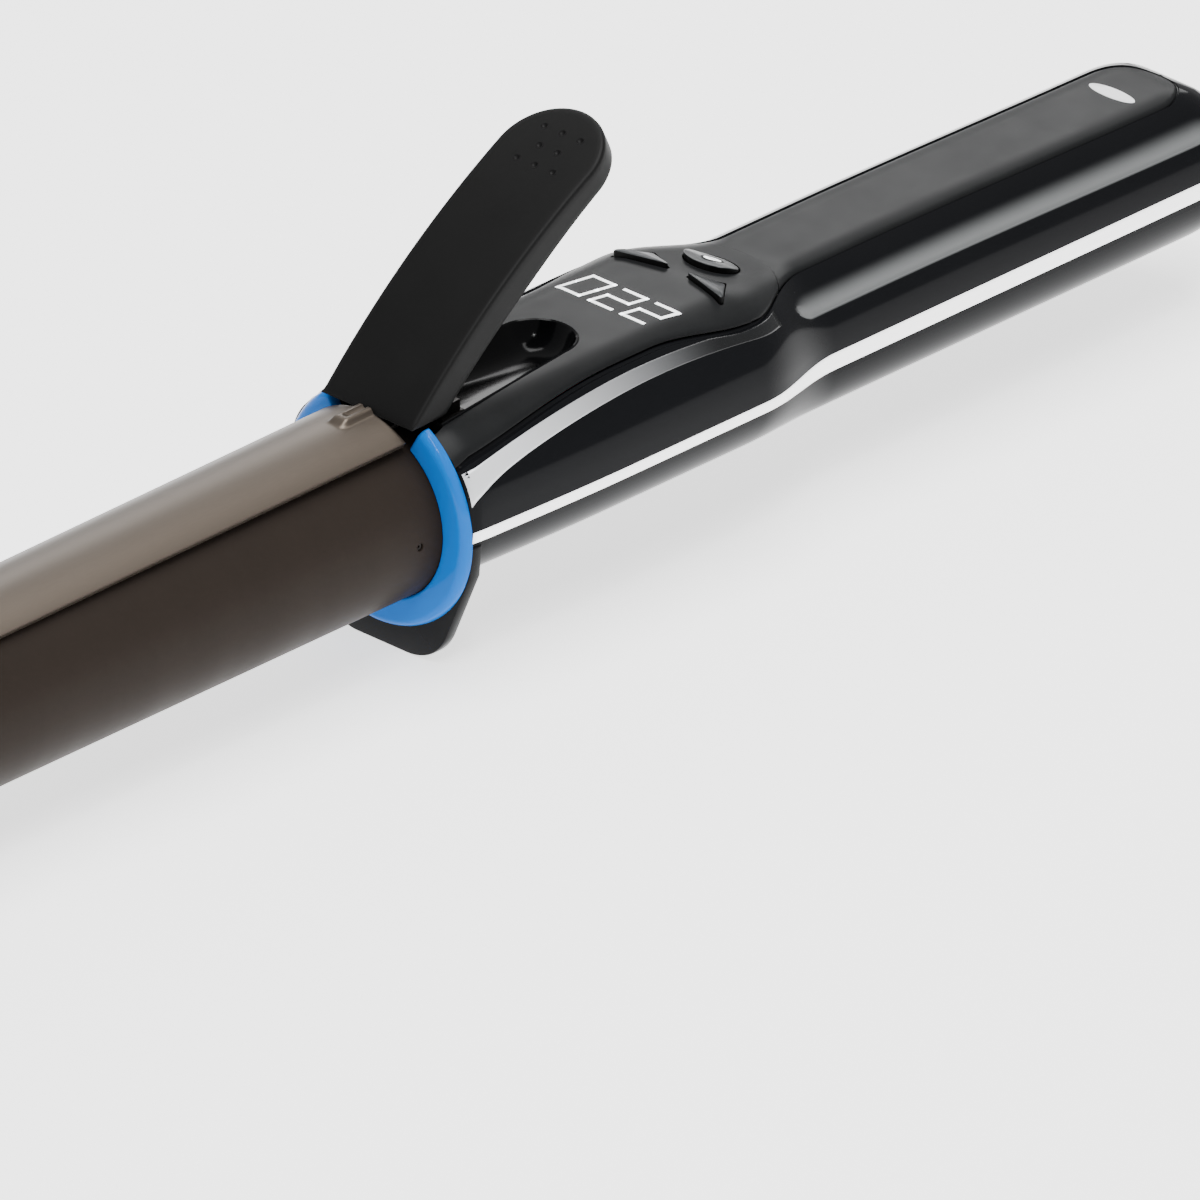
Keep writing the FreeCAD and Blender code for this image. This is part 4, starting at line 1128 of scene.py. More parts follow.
@dataclass
class LeverWell:
    """Gloss tongue-shaped recess under the lever."""

    half: float = 11.3
    tail: float = 7.4
    end: float = 46.5
    widest: float = 6.0
    start: float = 4.9
    steps: tuple[Flat, ...] = ((0.35, -1.6), (-0.02, -0.5), (-0.02, 0.02), (0.18, 0.16), (0.5, 0.0),
                               (0.95, -0.9), (1.5, -1.9), (2.3, -2.9), (3.3, -3.7), (4.6, -4.2), (6.2, -4.4))

    def outline(self, inset: float, start: float | None = None) -> list[Flat]:
        """The well's outline pulled in by an inset.

        Args:
            inset: Distance inwards.
            start: Station of its front edge.

        Returns:
            Points in order, front edge last.
        """
        front = FORM.front - 3 if start is None else start
        tail = self.tail - inset
        bend = self.end - self.tail
        full = self.half - inset
        part = (front - self.widest) / (bend - self.widest)
        wide = mix(full, tail, part)
        points = [(mix(front, bend, i / 20), -mix(wide, tail, i / 20)) for i in range(20)]
        for i in range(33):
            angle = -math.pi / 2 + math.pi * i / 32
            points.append((bend + tail * math.cos(angle), tail * math.sin(angle)))
        points += [(mix(bend, front, i / 20), mix(tail, wide, i / 20)) for i in range(1, 21)]
        points += [(front, mix(wide, -wide, i / 8)) for i in range(1, 8)]
        return points

    def build(self) -> None:
        """Loops from the rim's bead down the wall to the floor."""
        loops = []
        for inset, drop in self.steps:
            loops.append([(x, y, FORM.height(min(x, 60.0), y * 0.5) + drop) for x, y in
                          self.outline(inset, self.start + max(inset, 0) * 0.3)])
        outer = [(x, y, z - 4.5) for x, y, z in loops[0]]
        settle(lofted("lever_well_tray", [outer, *loops], WELL), "handle", WELL, "lever_well")


@dataclass
class Keys:
    """Power key and the two wing keys, each raised at the front and flush behind."""

    middle: float = 81.8
    wide: float = 5.5
    long: float = 3.6
    rise: float = 1.1
    floor: float = -5.0
    wing_corners: tuple[Flat, ...] = ((-8.2, 1.6), (-11.2, 13.6), (-5.4, 8.4))
    wing_round: float = 0.45
    wing_inside: float = 1.9
    crown: tuple[Flat, ...] = ((1.0, -5.0), (1.0, -0.12), (0.985, -0.03), (0.95, 0.0), (0.7, 0.02),
                               (0.35, 0.0), (0.05, -0.02))
    side_normal: float = 0.55

    def wing(self, side: int, grow: float) -> list[Flat]:
        """Rounded triangular outline of a wing key.

        Args:
            side: +1 for the plus key, -1 for the minus key.
            grow: Distance outwards.

        Returns:
            Points in order.
        """
        corners = [(self.middle + x, y) for x, y in self.wing_corners]
        centre_x = sum(x for x, _ in corners) / 3
        centre_y = sum(y for _, y in corners) / 3
        scale = 1 + grow / self.wing_inside
        across = mix(1.0, scale, 0.4)
        spread = [(centre_x + (x - centre_x) * scale, side * (centre_y + (y - centre_y) * across),
                   self.wing_round) for x, y in corners]
        return rounded(spread, 4)

    def outlines(self, grow: float) -> dict[str, list[Flat]]:
        """Outline of each key.

        Args:
            grow: Distance outwards.

        Returns:
            Points in order, by key.
        """
        long, wide = self.long + grow, self.wide + grow
        power = []
        for i in range(56):
            angle = 2 * math.pi * i / 56
            power.append((self.middle + long * math.cos(angle), wide * math.sin(angle)))
        return {"power": power, "plus": self.wing(1, grow), "minus": self.wing(-1, grow)}

    def lift(self, x: float, front: float, back: float) -> float:
        """Height of a key's top above the panel: full at the front, nothing behind."""
        return self.rise * (1 - ease(x, mix(front, back, 0.25), back)) + 0.05

    def build(self) -> None:
        """Make the three keys, their sides darkened as painted shade, and the power mark."""
        for name, outline in self.outlines(0.0).items():
            front = min(x for x, _ in outline)
            back = max(x for x, _ in outline)
            centre_x = sum(x for x, _ in outline) / len(outline)
            centre_y = sum(y for _, y in outline) / len(outline)
            loops = []
            for share, drop in self.crown:
                loop = []
                for x, y in outline:
                    px, py = mix(centre_x, x, share), mix(centre_y, y, share)
                    lift = drop if drop == self.floor else self.lift(px, front, back) + drop
                    loop.append((px, py, FORM.height(px, py) + lift))
                loops.append(loop)
            obj = lofted(f"{name}_key_cap", loops, KEY)
            # Faces that tilt away from the light take the near-black finish: painted shade on the key walls.
            obj.data.materials.append(KEY_WALL_SHADE_AND_MARK.material())
            for poly in obj.data.polygons:
                if poly.normal.z < self.side_normal:
                    poly.material_index = 1
            settle(obj, f"{name}_button", KEY, f"{name}_key")
        self.power_mark()

    def power_mark(self) -> None:
        """Dark ring, white middle and short bar on the power key."""
        self.disc("power_mark_ring", 1.95, 1.6, 0.06, KEY_WALL_SHADE_AND_MARK)
        self.disc("power_mark_white", 1.5, 0.02, 0.04, DIGIT)
        self.disc("power_mark_bar", 1.0, 0.02, 0.07, KEY_WALL_SHADE_AND_MARK, narrow=0.16)

    def disc(self, name: str, outer: float, inner: float, proud: float, finish: Finish,
             narrow: float = 1.0) -> None:
        """One thin mark that follows the power key's top.

        Args:
            name: Name of the piece.
            outer: Outer radius in mm.
            inner: Inner radius in mm.
            proud: Height above the key's top.
            finish: The mark's finish.
            narrow: Share of the radius that it keeps along the handle.
        """
        front, back = self.middle - self.long, self.middle + self.long
        loops = []
        for radius, up in ((outer, -0.05), (outer, proud), (inner, proud), (inner, -0.05)):
            loop = []
            for i in range(36):
                angle = 2 * math.pi * i / 36
                x = self.middle + 0.3 + radius * math.cos(angle) * narrow
                y = radius * math.sin(angle)
                loop.append((x, y, FORM.height(x, y) + self.lift(x, front, back) + up))
            loops.append(loop)
        verts = [Axes.at(*p) for loop in loops for p in loop]
        obj = mesh_object(name, verts, grid_faces(4, 36, True, True), finish)
        settle(obj, "power_button", finish)


# both ends of each display segment in a digit's unit box, across then up
SEGMENTS = {"a": ((0, 1), (1, 1)), "b": ((1, 1), (1, 0.5)), "c": ((1, 0.5), (1, 0)), "d": ((0, 0), (1, 0)),
            "e": ((0, 0.5), (0, 0)), "f": ((0, 1), (0, 0.5)), "g": ((0, 0.5), (1, 0.5))}


@dataclass
class Display:
    """Lit digits on the panel, read from the handle's end."""

    text: str = "220"
    front: float = 55.7
    tall: float = 7.0
    wide: float = 5.0
    pitch: float = 7.5
    slant: float = 1.6
    stroke: float = 0.72
    lit: dict[str, str] = field(default_factory=lambda: {"0": "abcdef", "2": "abged"})

    def place(self, start: float, across: float, up: float) -> Flat:
        """Place on the panel of a point in a digit, with its slant.

        Args:
            start: Where the digit begins across the panel.
            across: Share of the digit's width.
            up: Share of the digit's height.

        Returns:
            Station and distance across.
        """
        x = self.front + self.tall * (1 - up)
        y = start + across * self.wide + self.slant * (up - 0.5)
        return x, y

    def build(self) -> None:
        """Draw every lit segment as a thin raised bar that follows the panel."""
        verts: list[Vector] = []
        faces: list[list[int]] = []
        total = self.pitch * (len(self.text) - 1) + self.wide
        for index, digit in enumerate(self.text):
            start = -total / 2 + self.pitch * index
            for letter in self.lit[digit]:
                first, last = (Vector(self.place(start, *p)) for p in SEGMENTS[letter])
                along = (last - first).normalized() * self.stroke * 0.5
                across = Vector((-along.y, along.x))
                first, last = first - along, last + along
                offset = len(verts)
                for k in range(7):
                    spot = first.lerp(last, k / 6)
                    for way, up in ((-1, -0.1), (-1, 0.05), (1, 0.05), (1, -0.1)):
                        x, y = spot + across * way
                        verts.append(Axes.at(x, y, FORM.height(x, y) + up))
                faces += [[i + offset for i in quad] for quad in grid_faces(7, 4, False, True)]
                faces += [[offset, offset + 1, offset + 2, offset + 3],
                          [offset + 27, offset + 26, offset + 25, offset + 24]]
        obj = mesh_object("display_digits", verts, faces, DIGIT)
        settle(obj, "handle", DIGIT)


# ------------------------------------------------------------------------------------ barrel
@dataclass
class Barrel:
    """Coated tube, cool tip with grip ribs and the set screw."""

    radius: float = 16.0
    wall: float = 1.2
    out: float = 135.0
    back: float = 4.4
    tip_len: float = 20.0
    tip_rad: float = 16.4
    plug_len: float = 8.0
    screw_x: float = -5.0
    rib_count: int = 5
    rib_pitch: float = 2.0
    rib_start: float = 3.2
    rib_proud: float = 0.3
    screw_profile: tuple[tuple[float, float, bool], ...] = (
        (0.7, 2.6, False), (0.7, 0.55, False), (0.62, 0.45, False), (0.36, 0.5, True), (0.34, 1.0, True),
        (0.02, 1.05, True))

    def build(self) -> None:
        """Turn the tube and the cool tip."""
        inner = self.radius - self.wall
        profile = rounded([(-self.out, inner, 0.2), (self.back, inner, 0.2), (self.back, self.radius, 0.2),
                           (-self.out, self.radius, 0.35)], 4)
        profile = self.fill(profile, 6.0)
        tube = turned("barrel_tube_skin", profile, BARREL, 160)
        cut(tube, self.screw_hole(0.75, 1.5))
        tidy_mesh(tube, outward=False, sharp_deg=30.0)
        settle(tube, "handle", BARREL, "barrel_tube")
        front = -self.out - self.tip_len
        plug = inner - 0.15
        deep = -self.out + self.plug_len
        nose = rounded([(deep, 4, 0.2), (deep, plug, 0.5), (-self.out - 0.15, plug, 0.1),
                        (-self.out - 0.15, self.tip_rad, 0.5), (front, self.tip_rad, 7.0), (front, 0.01, 0),
                        (front + 3, 0.01, 0), (front + 3, 4, 0.3)], 10)
        settle(turned("cool_tip", nose, TIP, 120), "handle", TIP, "barrel_tip")
        self.ribs()
        self.set_screw()

    def set_screw(self) -> None:
        """Dished set screw with a six-sided socket, just below the tube's surface."""
        loops = []
        sixth = math.pi / 6
        for radius, depth, hexagon in self.screw_profile:
            loop = []
            for i in range(24):
                angle = 2 * math.pi * i / 24
                reach = radius
                if hexagon:
                    reach = radius / math.cos((angle % (2 * sixth)) - sixth) * math.cos(sixth)
                x = self.screw_x + reach * math.cos(angle)
                loop.append((x, -self.radius + depth, reach * math.sin(angle)))
            loops.append(loop)
        settle(lofted("set_screw", loops, SCREW), "handle", SCREW, "barrel_screw")

    @staticmethod
    def fill(profile: Sequence[Flat], step: float) -> list[Flat]:
        """Add points on long edges of a closed profile.

        Args:
            profile: Closed outline of (x, radius).
            step: Longest edge wanted, in mm.

        Returns:
            The outline with more points.
        """
        points = []
        for i, (x, r) in enumerate(profile):
            nx, nr = profile[(i + 1) % len(profile)]
            count = max(int(math.hypot(nx - x, nr - r) / step), 1)
            points += [(mix(x, nx, k / count), mix(r, nr, k / count)) for k in range(count)]
        return points

    def ribs(self) -> None:
        """Fine grip ribs round the cool tip, repeated by a node tree."""
        root, crest = self.tip_rad - self.rib_proud, self.tip_rad + self.rib_proud
        profile = rounded([(0, root, 0), (0.9, root, 0), (0.75, crest, 0.15), (0.15, crest, 0.15)], 3)
        rib = turned("tip_rib_pattern", profile, TIP, 96)
        rib.data.transform(Matrix.Translation((-(self.out + self.rib_start) * MM, 0, 0)))
        step = Vector((-self.rib_pitch * MM, 0, 0))
        settle(Repeater("tip_ribs", rib, TIP).along(step, self.rib_count), "handle", TIP)

    def screw_hole(self, radius: float, length: float) -> Piece:
        """A short cutting pin across the near side of the barrel.

        Args:
            radius: Radius of the hole in mm.
            length: Length of the pin in mm.

        Returns:
            The pin.
        """
        loops = []
        near = -self.radius + 0.9
        for y in (near, near - length):
            loops.append([(self.screw_x + radius * math.cos(a), y, radius * math.sin(a))
                          for a in (2 * math.pi * i / 20 for i in range(20))])
        return lofted("dimple", loops, BARREL)


class Repeater:
    """Geometry Nodes that repeat one mesh, and the plain mesh that comes of it."""

    def __init__(self, name: str, pattern: Piece, finish: Finish) -> None:
        """Keep what is repeated.

        Args:
            name: Name of the resulting piece.
            pattern: Mesh object that is repeated; it is used up.
            finish: Finish of the result.
        """
        self.name = name
        self.pattern = pattern
        self.finish = finish

    def along(self, step: Vector, count: int) -> Piece:
        """Repeat the pattern along a line.

        Args:
            step: Offset from one to the next, in metres.
            count: How many.

        Returns:
            One plain mesh object.
        """
        tree = self.new_tree()
        step_socket = tree.interface.new_socket("Step", in_out="INPUT", socket_type="NodeSocketVector")
        count_socket = tree.interface.new_socket("Count", in_out="INPUT", socket_type="NodeSocketInt")
        start, end = tree.nodes.new("NodeGroupInput"), tree.nodes.new("NodeGroupOutput")
        line = tree.nodes.new("GeometryNodeMeshLine")
        tree.links.new(start.outputs["Count"], line.inputs["Count"])
        tree.links.new(start.outputs["Step"], line.inputs["Offset"])
        self.instances(tree, line.outputs["Mesh"], start.outputs["Geometry"], end)
        values = {step_socket.identifier: tuple(step), count_socket.identifier: count}
        return self.run(tree, values)

    def on_points(self, points: Sequence[Vector]) -> Piece:
        """Repeat the pattern on given places.

        Args:
            points: Places in metres.

        Returns:
            One plain mesh object.
        """
        tree = self.new_tree()
        cloud = bpy.data.meshes.new(f"{self.name}_places")
        cloud.from_pydata([tuple(p) for p in points], [], [])
        holder = bpy.data.objects.new(f"{self.name}_places", cloud)
        bpy.context.scene.collection.objects.link(holder)
        place_socket = tree.interface.new_socket("Places", in_out="INPUT", socket_type="NodeSocketObject")
        start, end = tree.nodes.new("NodeGroupInput"), tree.nodes.new("NodeGroupOutput")
        info = tree.nodes.new("GeometryNodeObjectInfo")
        tree.links.new(start.outputs["Places"], info.inputs["Object"])
        self.instances(tree, info.outputs["Geometry"], start.outputs["Geometry"], end)
        made = self.run(tree, {place_socket.identifier: holder})
        bpy.data.objects.remove(holder)
        return made

    def new_tree(self) -> Tree:
        """An empty node tree with a geometry input and output.

        Returns:
            The tree.
        """
        tree = bpy.data.node_groups.new(self.name, "GeometryNodeTree")
        tree.interface.new_socket("Geometry", in_out="INPUT", socket_type="NodeSocketGeometry")
        tree.interface.new_socket("Geometry", in_out="OUTPUT", socket_type="NodeSocketGeometry")
        return tree

    def instances(self, tree: Tree, points: Socket, pattern: Socket, end: Node) -> None:
        """Instance the pattern on points, realize it and set its material.

        Args:
            tree: The node tree.
            points: Where the copies stand.
            pattern: What is copied.
            end: The tree's output node.
        """
        copies = tree.nodes.new("GeometryNodeInstanceOnPoints")
        real = tree.nodes.new("GeometryNodeRealizeInstances")
        dress = tree.nodes.new("GeometryNodeSetMaterial")
        dress.inputs["Material"].default_value = self.finish.material()
        tree.links.new(points, copies.inputs["Points"])
        tree.links.new(pattern, copies.inputs["Instance"])
        tree.links.new(copies.outputs["Instances"], real.inputs["Geometry"])
        tree.links.new(real.outputs["Geometry"], dress.inputs["Geometry"])
        tree.links.new(dress.outputs["Geometry"], end.inputs["Geometry"])

    def run(self, tree: Tree, values: dict[str, object]) -> Piece:
        """Set the inputs by identifier, evaluate once and keep the plain mesh.

        Args:
            tree: The node tree.
            values: Input values by socket identifier.

        Returns:
            The pattern's object, now holding the result.
        """
        modifier = self.pattern.modifiers.new("repeat", "NODES")
        modifier.node_group = tree
        for identifier, value in values.items():
            modifier[identifier] = value
        bake(self.pattern)
        self.pattern.name = self.name
        return self.pattern


# ------------------------------------------------------------------------------------ collar
@dataclass
class Collar:
    """Gloss blue collar ring, open at the top, and the black plate with the rest foot."""

    outer: float = 21.5
    bore: float = 16.08
    thick: float = 2.0
    gap_deg: float = 30.0
    cap_deg: float = 2.4
    foot_thick: float = 2.6
    inner_inset: float = 2.35
    notch_half: float = 12.0
    shoulder: Flat = (21.3, -1.0)
    cheek: Flat = (20.75, -7.0)
    sole: Flat = (12.45, -26.05)
    sole_round: float = 10.0

    def build(self) -> None:
        """Make the ring and the foot plate."""
        profile = rounded([(0.02, self.bore, 0.5), (self.thick, self.bore, 0.1),
                           (self.thick, self.outer, 0.1), (0.02, self.outer, 1.75)], 8)
        middle_x = sum(x for x, _ in profile) / len(profile)
        middle_r = sum(r for _, r in profile) / len(profile)
        loops = []
        start, stop = math.radians(self.gap_deg), math.radians(360 - self.gap_deg)
        cap = math.radians(self.cap_deg)
        quarter = [math.pi / 2 * i / 8 for i in range(9)]
        turns = [(start + cap * (1 - math.cos(a)), math.sin(a)) for a in quarter]
        turns += [(mix(start + cap, stop - cap, i / 120), 1.0) for i in range(1, 120)]
        turns += [(stop - cap * (1 - math.cos(a)), math.sin(a)) for a in reversed(quarter)]
        for angle, share in turns:
            share = max(share, 0.02)
            loops.append([self.round_place(mix(middle_x + 0.5, x, share), mix(middle_r, r, share), angle)
                          for x, r in profile])
        settle(lofted("collar_ring_gloss", loops, RING), "handle", RING, "collar_ring")
        self.foot()

    @staticmethod
    def round_place(x: float, radius: float, angle: float) -> Point:
        """A place round the barrel axis, with the angle from the top towards the far side."""
        return x, radius * math.sin(angle), radius * math.cos(angle)

    def outline(self) -> list[Flat]:
        """The foot plate's outline, which is open at the top for the lever.

        Returns:
            Points from one top edge, round the bottom, to the other.
        """
        section = FORM.section(self.thick)
        shoulder = section.by_height(self.shoulder[1] + 0.6)
        start = section.by_half_width(self.notch_half)
        upper = [section.point(mix(start, shoulder, i / 24), self.inner_inset) for i in range(25)]
        corners = [(*self.shoulder, 0.0), (*self.cheek, 0.0), (*self.sole, self.sole_round),
                   (-self.sole[0], self.sole[1], self.sole_round), (-self.cheek[0], self.cheek[1], 0.0),
                   (-self.shoulder[0], self.shoulder[1], 0.0)]
        chin = rounded(corners, 12)
        return upper + chin + [(-y, z) for y, z in reversed(upper)]

    def foot(self) -> None:
        """Plate whose chin hangs below the handle and keeps the hot barrel off the table."""
        front, back = self.thick + 0.02, self.thick + self.foot_thick
        edge = self.outline()
        count = len(edge)
        loops = []
        for x, share in ((front, 1.0), (front, 0.0), (back, 0.0), (back, 1.0)):
            loop = []
            for y, z in edge:
                angle = math.atan2(y, z)
                inner = (self.bore * math.sin(angle), self.bore * math.cos(angle))
                loop.append((x, mix(y, inner[0], share), mix(z, inner[1], share)))
            loops.append(loop)
        verts = [Axes.at(*p) for loop in loops for p in loop]
        faces = grid_faces(4, count, True, False)
        faces += [tuple(k * count for k in range(4)), tuple(k * count + count - 1 for k in range(4))]
        obj = mesh_object("foot_plate", verts, faces, FOOT)
        soften(obj, 0.45, 50.0)
        tidy_mesh(obj, outward=False)
        settle(obj, "handle", FOOT, "collar_foot")


# ------------------------------------------------------------------------------------ clamp
@dataclass
class Clamp:
    """Thin clamp plate with its pressed boss."""

    inside: float = 16.25
    thin: float = 1.2
    half_deg: float = 33.0
    length: float = 130.0
    rear: float = -2.0
    lift: float = 1.6
    pitch: float = 0.62
    nose: float = 8.0
    blunt: float = 0.28

    def build(self) -> None:
        """Make the plate as a curved sheet with a wall."""
        along = [i * 0.35 for i in range(34)] + [12.0 + i * 2.4 for i in range(46)]
        along += [self.length - self.nose * (1 - math.sin(math.pi / 2 * i / 14)) for i in range(15)]
        along = sorted({a for a in along if a <= self.length})
        columns = 64
        verts = []
        tilt = math.radians(self.pitch)
        for a in along:
            over = max(a - (self.length - self.nose), 0.0) / self.nose
            share = mix(self.blunt, 1.0, math.sqrt(max(1 - over ** 2.6, 0.0)))
            for k in range(columns + 1):
                angle = math.radians(self.half_deg) * share * (2 * k / columns - 1)
                radius = self.inside + self.thin + self.boss(a, angle * self.inside)
                up = radius * math.cos(angle)
                x = self.rear - a * math.cos(tilt) + up * math.sin(tilt)
                z = self.lift - a * math.sin(tilt) + up * math.cos(tilt)
                verts.append(Axes.at(x, radius * math.sin(angle), z))
        obj = mesh_object("clamp_plate_skin", verts, grid_faces(len(along), columns + 1), CLAMP)
        Housing.face_out(obj)
        thicken(obj, self.thin)
        soften(obj, 0.22, 60.0)
        tidy_mesh(obj, outward=False, sharp_deg=50.0)
        settle(obj, "clamp", CLAMP, "clamp_plate")

    @staticmethod
    def boss(along: float, across: float) -> float:
        """Height of the pressed boss, open towards the lever.

        Args:
            along: Distance from the plate's rear edge.
            across: Distance across the plate.

        Returns:
            Height above the plate in mm.
        """
        body = 1 - ease(abs(across), 1.1, 2.0)
        nose = 1 - ease(along, 5.6, 8.0)
        slot = 0.55 * (1 - ease(abs(across), 0.2, 0.6)) * (1 - ease(along, 4.0, 5.4))
        return 0.95 * body * nose * (1 - slot)


@dataclass
class Lever:
    """Hollow arched lever with a round tip and grip dimples."""

    half: float = 10.7
    tip_over: float = 0.5
    base: Flat = (-1.8, 18.95)
    tip: Flat = (50.4, 56.3)
    rise: float = 3.1
    wall: float = 1.9
    skirt_mid: float = 5.8
    skirt_tip: float = 4.4
    tops: tuple[float, ...] = (10.7, 9.0, 7.0, 5.0, 3.0, 1.6, 0.8)
    rim: tuple[Flat, ...] = ((0.4, 0.08), (0.14, 0.3), (0.0, 0.75))
    rim_depth: float = 0.75
    dimple_rad: float = 0.8
    dimple_rows: tuple[tuple[float, float, int], ...] = ((5.2, -4.2, 3), (9.0, -2.1, 2), (12.8, -4.2, 3))
    dimple_pitch: float = 4.2
    dimple_lift: float = 0.45

    def __post_init__(self) -> None:
        """Work out the arc that the top surface follows."""
        start, stop = Vector(self.base), Vector(self.tip)
        chord = stop - start
        self.radius = (chord.length ** 2 / 4 + self.rise ** 2) / (2 * self.rise)
        along = chord.normalized()
        out = Vector((-along.y, along.x))
        self.centre = (start + stop) / 2 + out * (self.rise - self.radius)
        first = start - self.centre
        self.begin = math.atan2(first.y, first.x)
        last = stop - self.centre
        self.run = (self.begin - math.atan2(last.y, last.x)) * self.radius

    def place(self, along: float, across: float, depth: float) -> Point:
        """A place on or under the lever's top surface.

        Args:
            along: Distance from the base along the top.
            across: Distance across.
            depth: Depth square to the top.

        Returns:
            Place in mm.
        """
        angle = self.begin - along / self.radius
        reach = self.radius - depth - 0.3 * (across / self.half) ** 2
        return self.centre.x + reach * math.cos(angle), across, self.centre.y + reach * math.sin(angle)

    def skirt(self, along: float) -> float:
        """Depth of the skirt, cut off level at the base.

        Args:
            along: Distance from the base along the top.

        Returns:
            Depth below the top in mm.
        """
        wanted = mix(self.skirt_mid, self.skirt_tip, ease(along, self.run * 0.4, self.run))
        angle = self.begin - max(along, 0.0) / self.radius
        height = self.centre.y + self.radius * math.sin(angle) - self.base[1]
        return max(min(wanted, height / math.sin(angle)), 0.02)

    def loop(self, inset: float, depth: float, skirt_share: float = 0.0) -> Loop:
        """Closed loop round the lever's plan.

        Args:
            inset: Distance inwards from the outline.
            depth: Depth below the top.
            skirt_share: Share of the skirt's depth to add.

        Returns:
            Places in mm.
        """
        half = self.half - inset
        bend = self.run + self.tip_over - self.half
        start = min(inset, 2.0)
        spots = [(mix(start, bend, i / 36), -half) for i in range(36)]
        for i in range(41):
            angle = -math.pi / 2 + math.pi * i / 40
            spots.append((bend + half * math.cos(angle), half * math.sin(angle)))
        spots += [(mix(bend, start, i / 36), half) for i in range(1, 37)]
        spots += [(start, mix(half, -half, i / 10)) for i in range(1, 10)]
        places = []
        for along, across in spots:
            under = self.skirt(along)
            down = min(depth, under) + skirt_share * max(under - depth, 0.0)
            places.append(self.place(along, across, down))
        return places

    def build(self) -> None:
        """Skin the lever from the top's spine over the rim and up inside, then press the dimples."""
        loops = [self.loop(inset, 0.0) for inset in self.tops]
        loops += [self.loop(inset, depth) for inset, depth in self.rim]
        loops += [self.loop(0.0, self.rim_depth, share) for share in (0.25, 0.5, 0.75, 0.94)]
        loops += [self.loop(inset, self.rim_depth, 1.0) for inset in (0.15, self.wall - 0.2)]
        loops += [self.loop(self.wall, self.wall + 0.2, share) for share in (0.9, 0.5, 0.1)]
        loops += [self.loop(inset, self.wall) for inset in (self.wall + 0.6, 5.0, 8.0, self.half)]
        obj = lofted("lever_moulding", loops, LEVER, ends=False)
        cut(obj, self.dimples())
        tidy_mesh(obj, outward=False, sharp_deg=40.0)
        settle(obj, "clamp", LEVER, "clamp_lever")

    def dimples(self) -> Piece:
        """Round cutters over the grip end, repeated by a node tree.

        Returns:
            All the cutters as one object.
        """
        ball = bpy.data.meshes.new("dimple_ball")
        bm = bmesh.new()
        bmesh.ops.create_uvsphere(bm, u_segments=16, v_segments=10, radius=self.dimple_rad * MM)
        bm.to_mesh(ball)
        bm.free()
        obj = bpy.data.objects.new("dimple_ball", ball)
        bpy.context.scene.collection.objects.link(obj)
        obj.data.materials.append(LEVER.material())
        spots = []
        for along, first, count in self.dimple_rows:
            for column in range(count):
                across = first + column * self.dimple_pitch
                spots.append(Axes.at(*self.place(self.run - along, across, -self.dimple_lift)))
        return Repeater("lever_dimples", obj, LEVER).on_points(spots)


@dataclass
class Hinge:
    """Wound torsion spring about the hinge pin."""

    wire: float = 0.32
    turns: int = 10

    def build(self) -> None:
        """Wind the spring inside the room that the frame keeps for it."""
        low, high = Axes.span("clamp_spring")
        middle = (low + high) / 2
        radius = (high.x - low.x) / 2 - self.wire
        steps = self.turns * 20
        loops = []
        for i in range(steps + 1):
            angle = 2 * math.pi * i / 20
            y = mix(low.y + self.wire, high.y - self.wire, i / steps)
            loop = []
            for k in range(8):
                tilt = 2 * math.pi * k / 8
                reach = radius + self.wire * math.cos(tilt)
                loop.append((middle.x + reach * math.cos(angle), y + self.wire * math.sin(tilt),
                             middle.z + reach * math.sin(angle)))
            loops.append(loop)
        settle(lofted("spring_coil", loops, SPRING), "handle", SPRING, "clamp_spring")


@dataclass
class Swivel:
    """Turned swivel gland at the handle's end."""

    bore: float = 3.2
    neck: float = 5.4
    out: float = 11.0
    start: float = 175.0
    disc: float = 7.4
    # station behind the handle's end, height above the neck and rounding of each corner
    outside: tuple[Point, ...] = ((7.2, -0.5, 0.1), (6.8, -0.9, 0.1), (6.2, -0.9, 0.1), (5.8, -0.4, 0.1),
                                  (4.4, -0.3, 0.1), (4.0, -0.7, 0.1), (3.4, -0.7, 0.1), (3.0, -0.2, 0.1),
                                  (0.5, 0.0, 0.2), (-6.0, 0.0, 0.1))

    def build(self) -> None:
        """Turn the gland with two fine grip rings."""
        end = FORM.end
        corners = [(self.start, self.bore, 0.2), (end + self.out, self.bore, 0.5),
                   (end + self.out, self.neck - 0.8, 0.6)]
        corners += [(end + x, self.neck + rise, radius) for x, rise, radius in self.outside]
        corners += [(end - 6, self.disc, 0.2), (end - 8.5, self.disc, 0.2), (end - 8.5, self.neck, 0.1),
                    (self.start, self.neck, 0.2)]
        profile = rounded(corners, 3)
        settle(turned("swivel_gland", profile, FOOT, 72), "swivel", FOOT, "cord_gland")


class Inside:
    """Pieces whose CAD shape stays; each gets the finish of its own slot."""

    blackened: tuple[str, ...] = ("hinge_bracket", "hinge_pin", "clamp_arm", "clamp_rivets",
                                  "housing_screws")

    def dress(self) -> None:
        """Give every node that still shows a procedural finish."""
        slots = {part["node"]: part["material_slot"] for part in frame["record"]["subparts"]}
        for node, obj in frame["nodes"].items():
            finish = INNER_FINISHES.get(slots[node])
            if finish is None or obj.hide_render:
                continue
            obj.data.materials.clear()
            finish = SCREW if node in self.blackened else finish
            obj.data.materials.append(finish.material())
            LOG.info("%s keeps its shape", node)


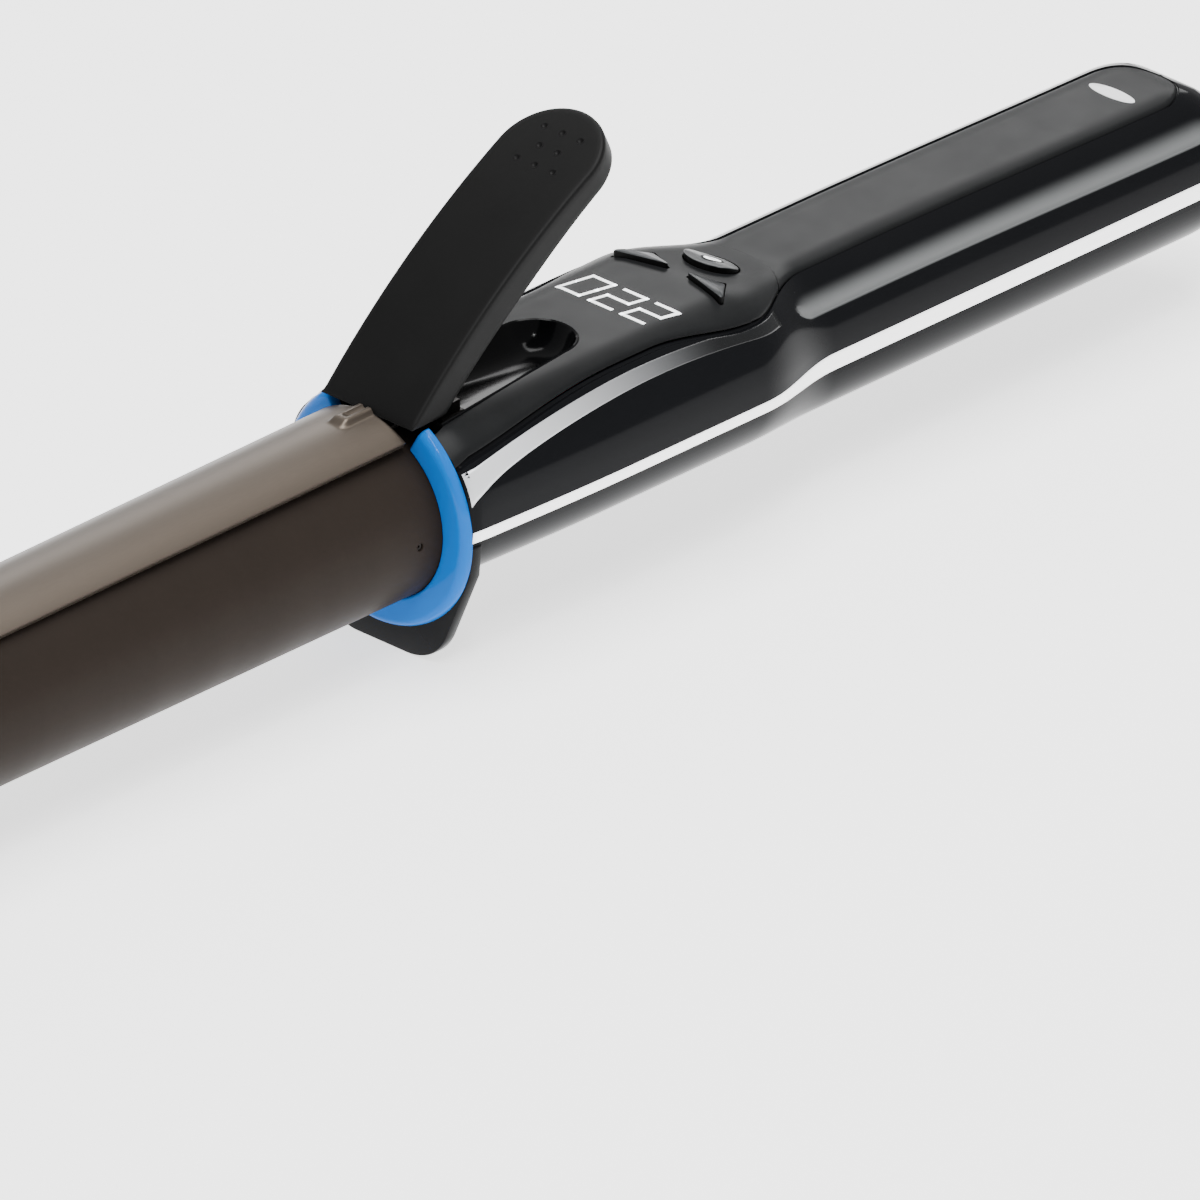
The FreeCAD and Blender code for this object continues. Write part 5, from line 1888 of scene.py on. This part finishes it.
# ------------------------------------------------------------------------------------ studio
@dataclass
class Studio:
    """Pale floor, soft lights and a long-lens camera."""

    azimuth: float = -45.88
    elevation: float = 26.94
    lens: float = 1500.0
    width_m: float = 0.2017
    shift_right: float = 38.15
    shift_down: float = 15.46
    sensor: float = 36.0
    floor_half: float = 6.0
    sky: float = 0.6

    def camera(self) -> None:
        """Aim the camera so that the ring stands left of and above the middle."""
        a, e = math.radians(self.azimuth), math.radians(self.elevation)
        back = Vector((math.sin(a) * math.cos(e), -math.cos(a) * math.cos(e), math.sin(e)))
        right = Vector((math.cos(a), math.sin(a), 0.0))
        up = back.cross(right)
        target = Axes.at(0, 0, 0) + right * self.shift_right * MM - up * self.shift_down * MM
        data = bpy.data.cameras.new("camera")
        data.lens = self.lens
        data.sensor_width = self.sensor
        distance = self.width_m * self.lens / self.sensor
        data.clip_start = 0.1
        data.clip_end = distance * 4
        obj = bpy.data.objects.new("camera", data)
        bpy.context.scene.collection.objects.link(obj)
        obj.location = target + back * distance
        obj.rotation_mode = "QUATERNION"
        obj.rotation_quaternion = (-back).to_track_quat("-Z", "Y")
        bpy.context.scene.camera = obj

    def light(self, name: str, place: Point, aim: Point, size: Flat, watts: float) -> None:
        """One rectangular soft light, unseen by the camera itself.

        Args:
            name: Name of the light.
            place: Place in metres from the ring.
            aim: Where it points, in metres from the ring.
            size: Width and height in metres.
            watts: Its power.
        """
        data = bpy.data.lights.new(name, "AREA")
        data.shape = "RECTANGLE"
        data.size, data.size_y = size
        data.energy = watts
        obj = bpy.data.objects.new(name, data)
        bpy.context.scene.collection.objects.link(obj)
        origin = Axes.at(0, 0, 0)
        obj.location = origin + Vector(place)
        way = Vector(aim) - Vector(place)
        obj.rotation_mode = "QUATERNION"
        obj.rotation_quaternion = way.to_track_quat("-Z", "Y")
        obj.visible_camera = False

    def build(self) -> None:
        """Set floor, world, lights and camera."""
        size = self.floor_half
        corners = [Vector((-size, -size, 0)), Vector((size, -size, 0)), Vector((size, size, 0)),
                   Vector((-size, size, 0))]
        paper = Finish("studio_paper", "", (0.90, 0.90, 0.90), (0.87, 0.87, 0.87), 0.9, specular=0.0,
                       relief=0.0, glow=1.8)
        floor = mesh_object("studio_floor", corners, [(0, 1, 2, 3)], paper)
        if floor.data.polygons[0].normal.z < 0:
            floor.data.flip_normals()
        world = bpy.data.worlds.new("studio")
        world.use_nodes = True
        background = world.node_tree.nodes["Background"]
        background.inputs["Color"].default_value = (1.0, 1.0, 1.0, 1.0)
        background.inputs["Strength"].default_value = self.sky
        bpy.context.scene.world = world
        self.light("overhead", (0.25, -0.05, 1.4), (0.02, 0, 0), (1.1, 0.7), 26.0)
        self.light("far_side", (0.95, 0.92, 0.62), (0.05, 0, 0), (1.1, 0.3), 6.0)
        self.light("near_left", (-0.42, -0.50, 1.05), (0.0, 0, 0), (0.10, 0.5), 9.0)
        self.camera()


def main() -> None:
    """Build every sub-assembly in order."""
    logging.basicConfig(level=logging.INFO, format="%(message)s")
    Studio().build()
    Barrel().build()
    Collar().build()
    Housing().build()
    TopCovers().build()
    LeverWell().build()
    Keys().build()
    Display().build()
    Clamp().build()
    Lever().build()
    Hinge().build()
    Swivel().build()
    Inside().dress()


if __name__ == "__main__":
    main()
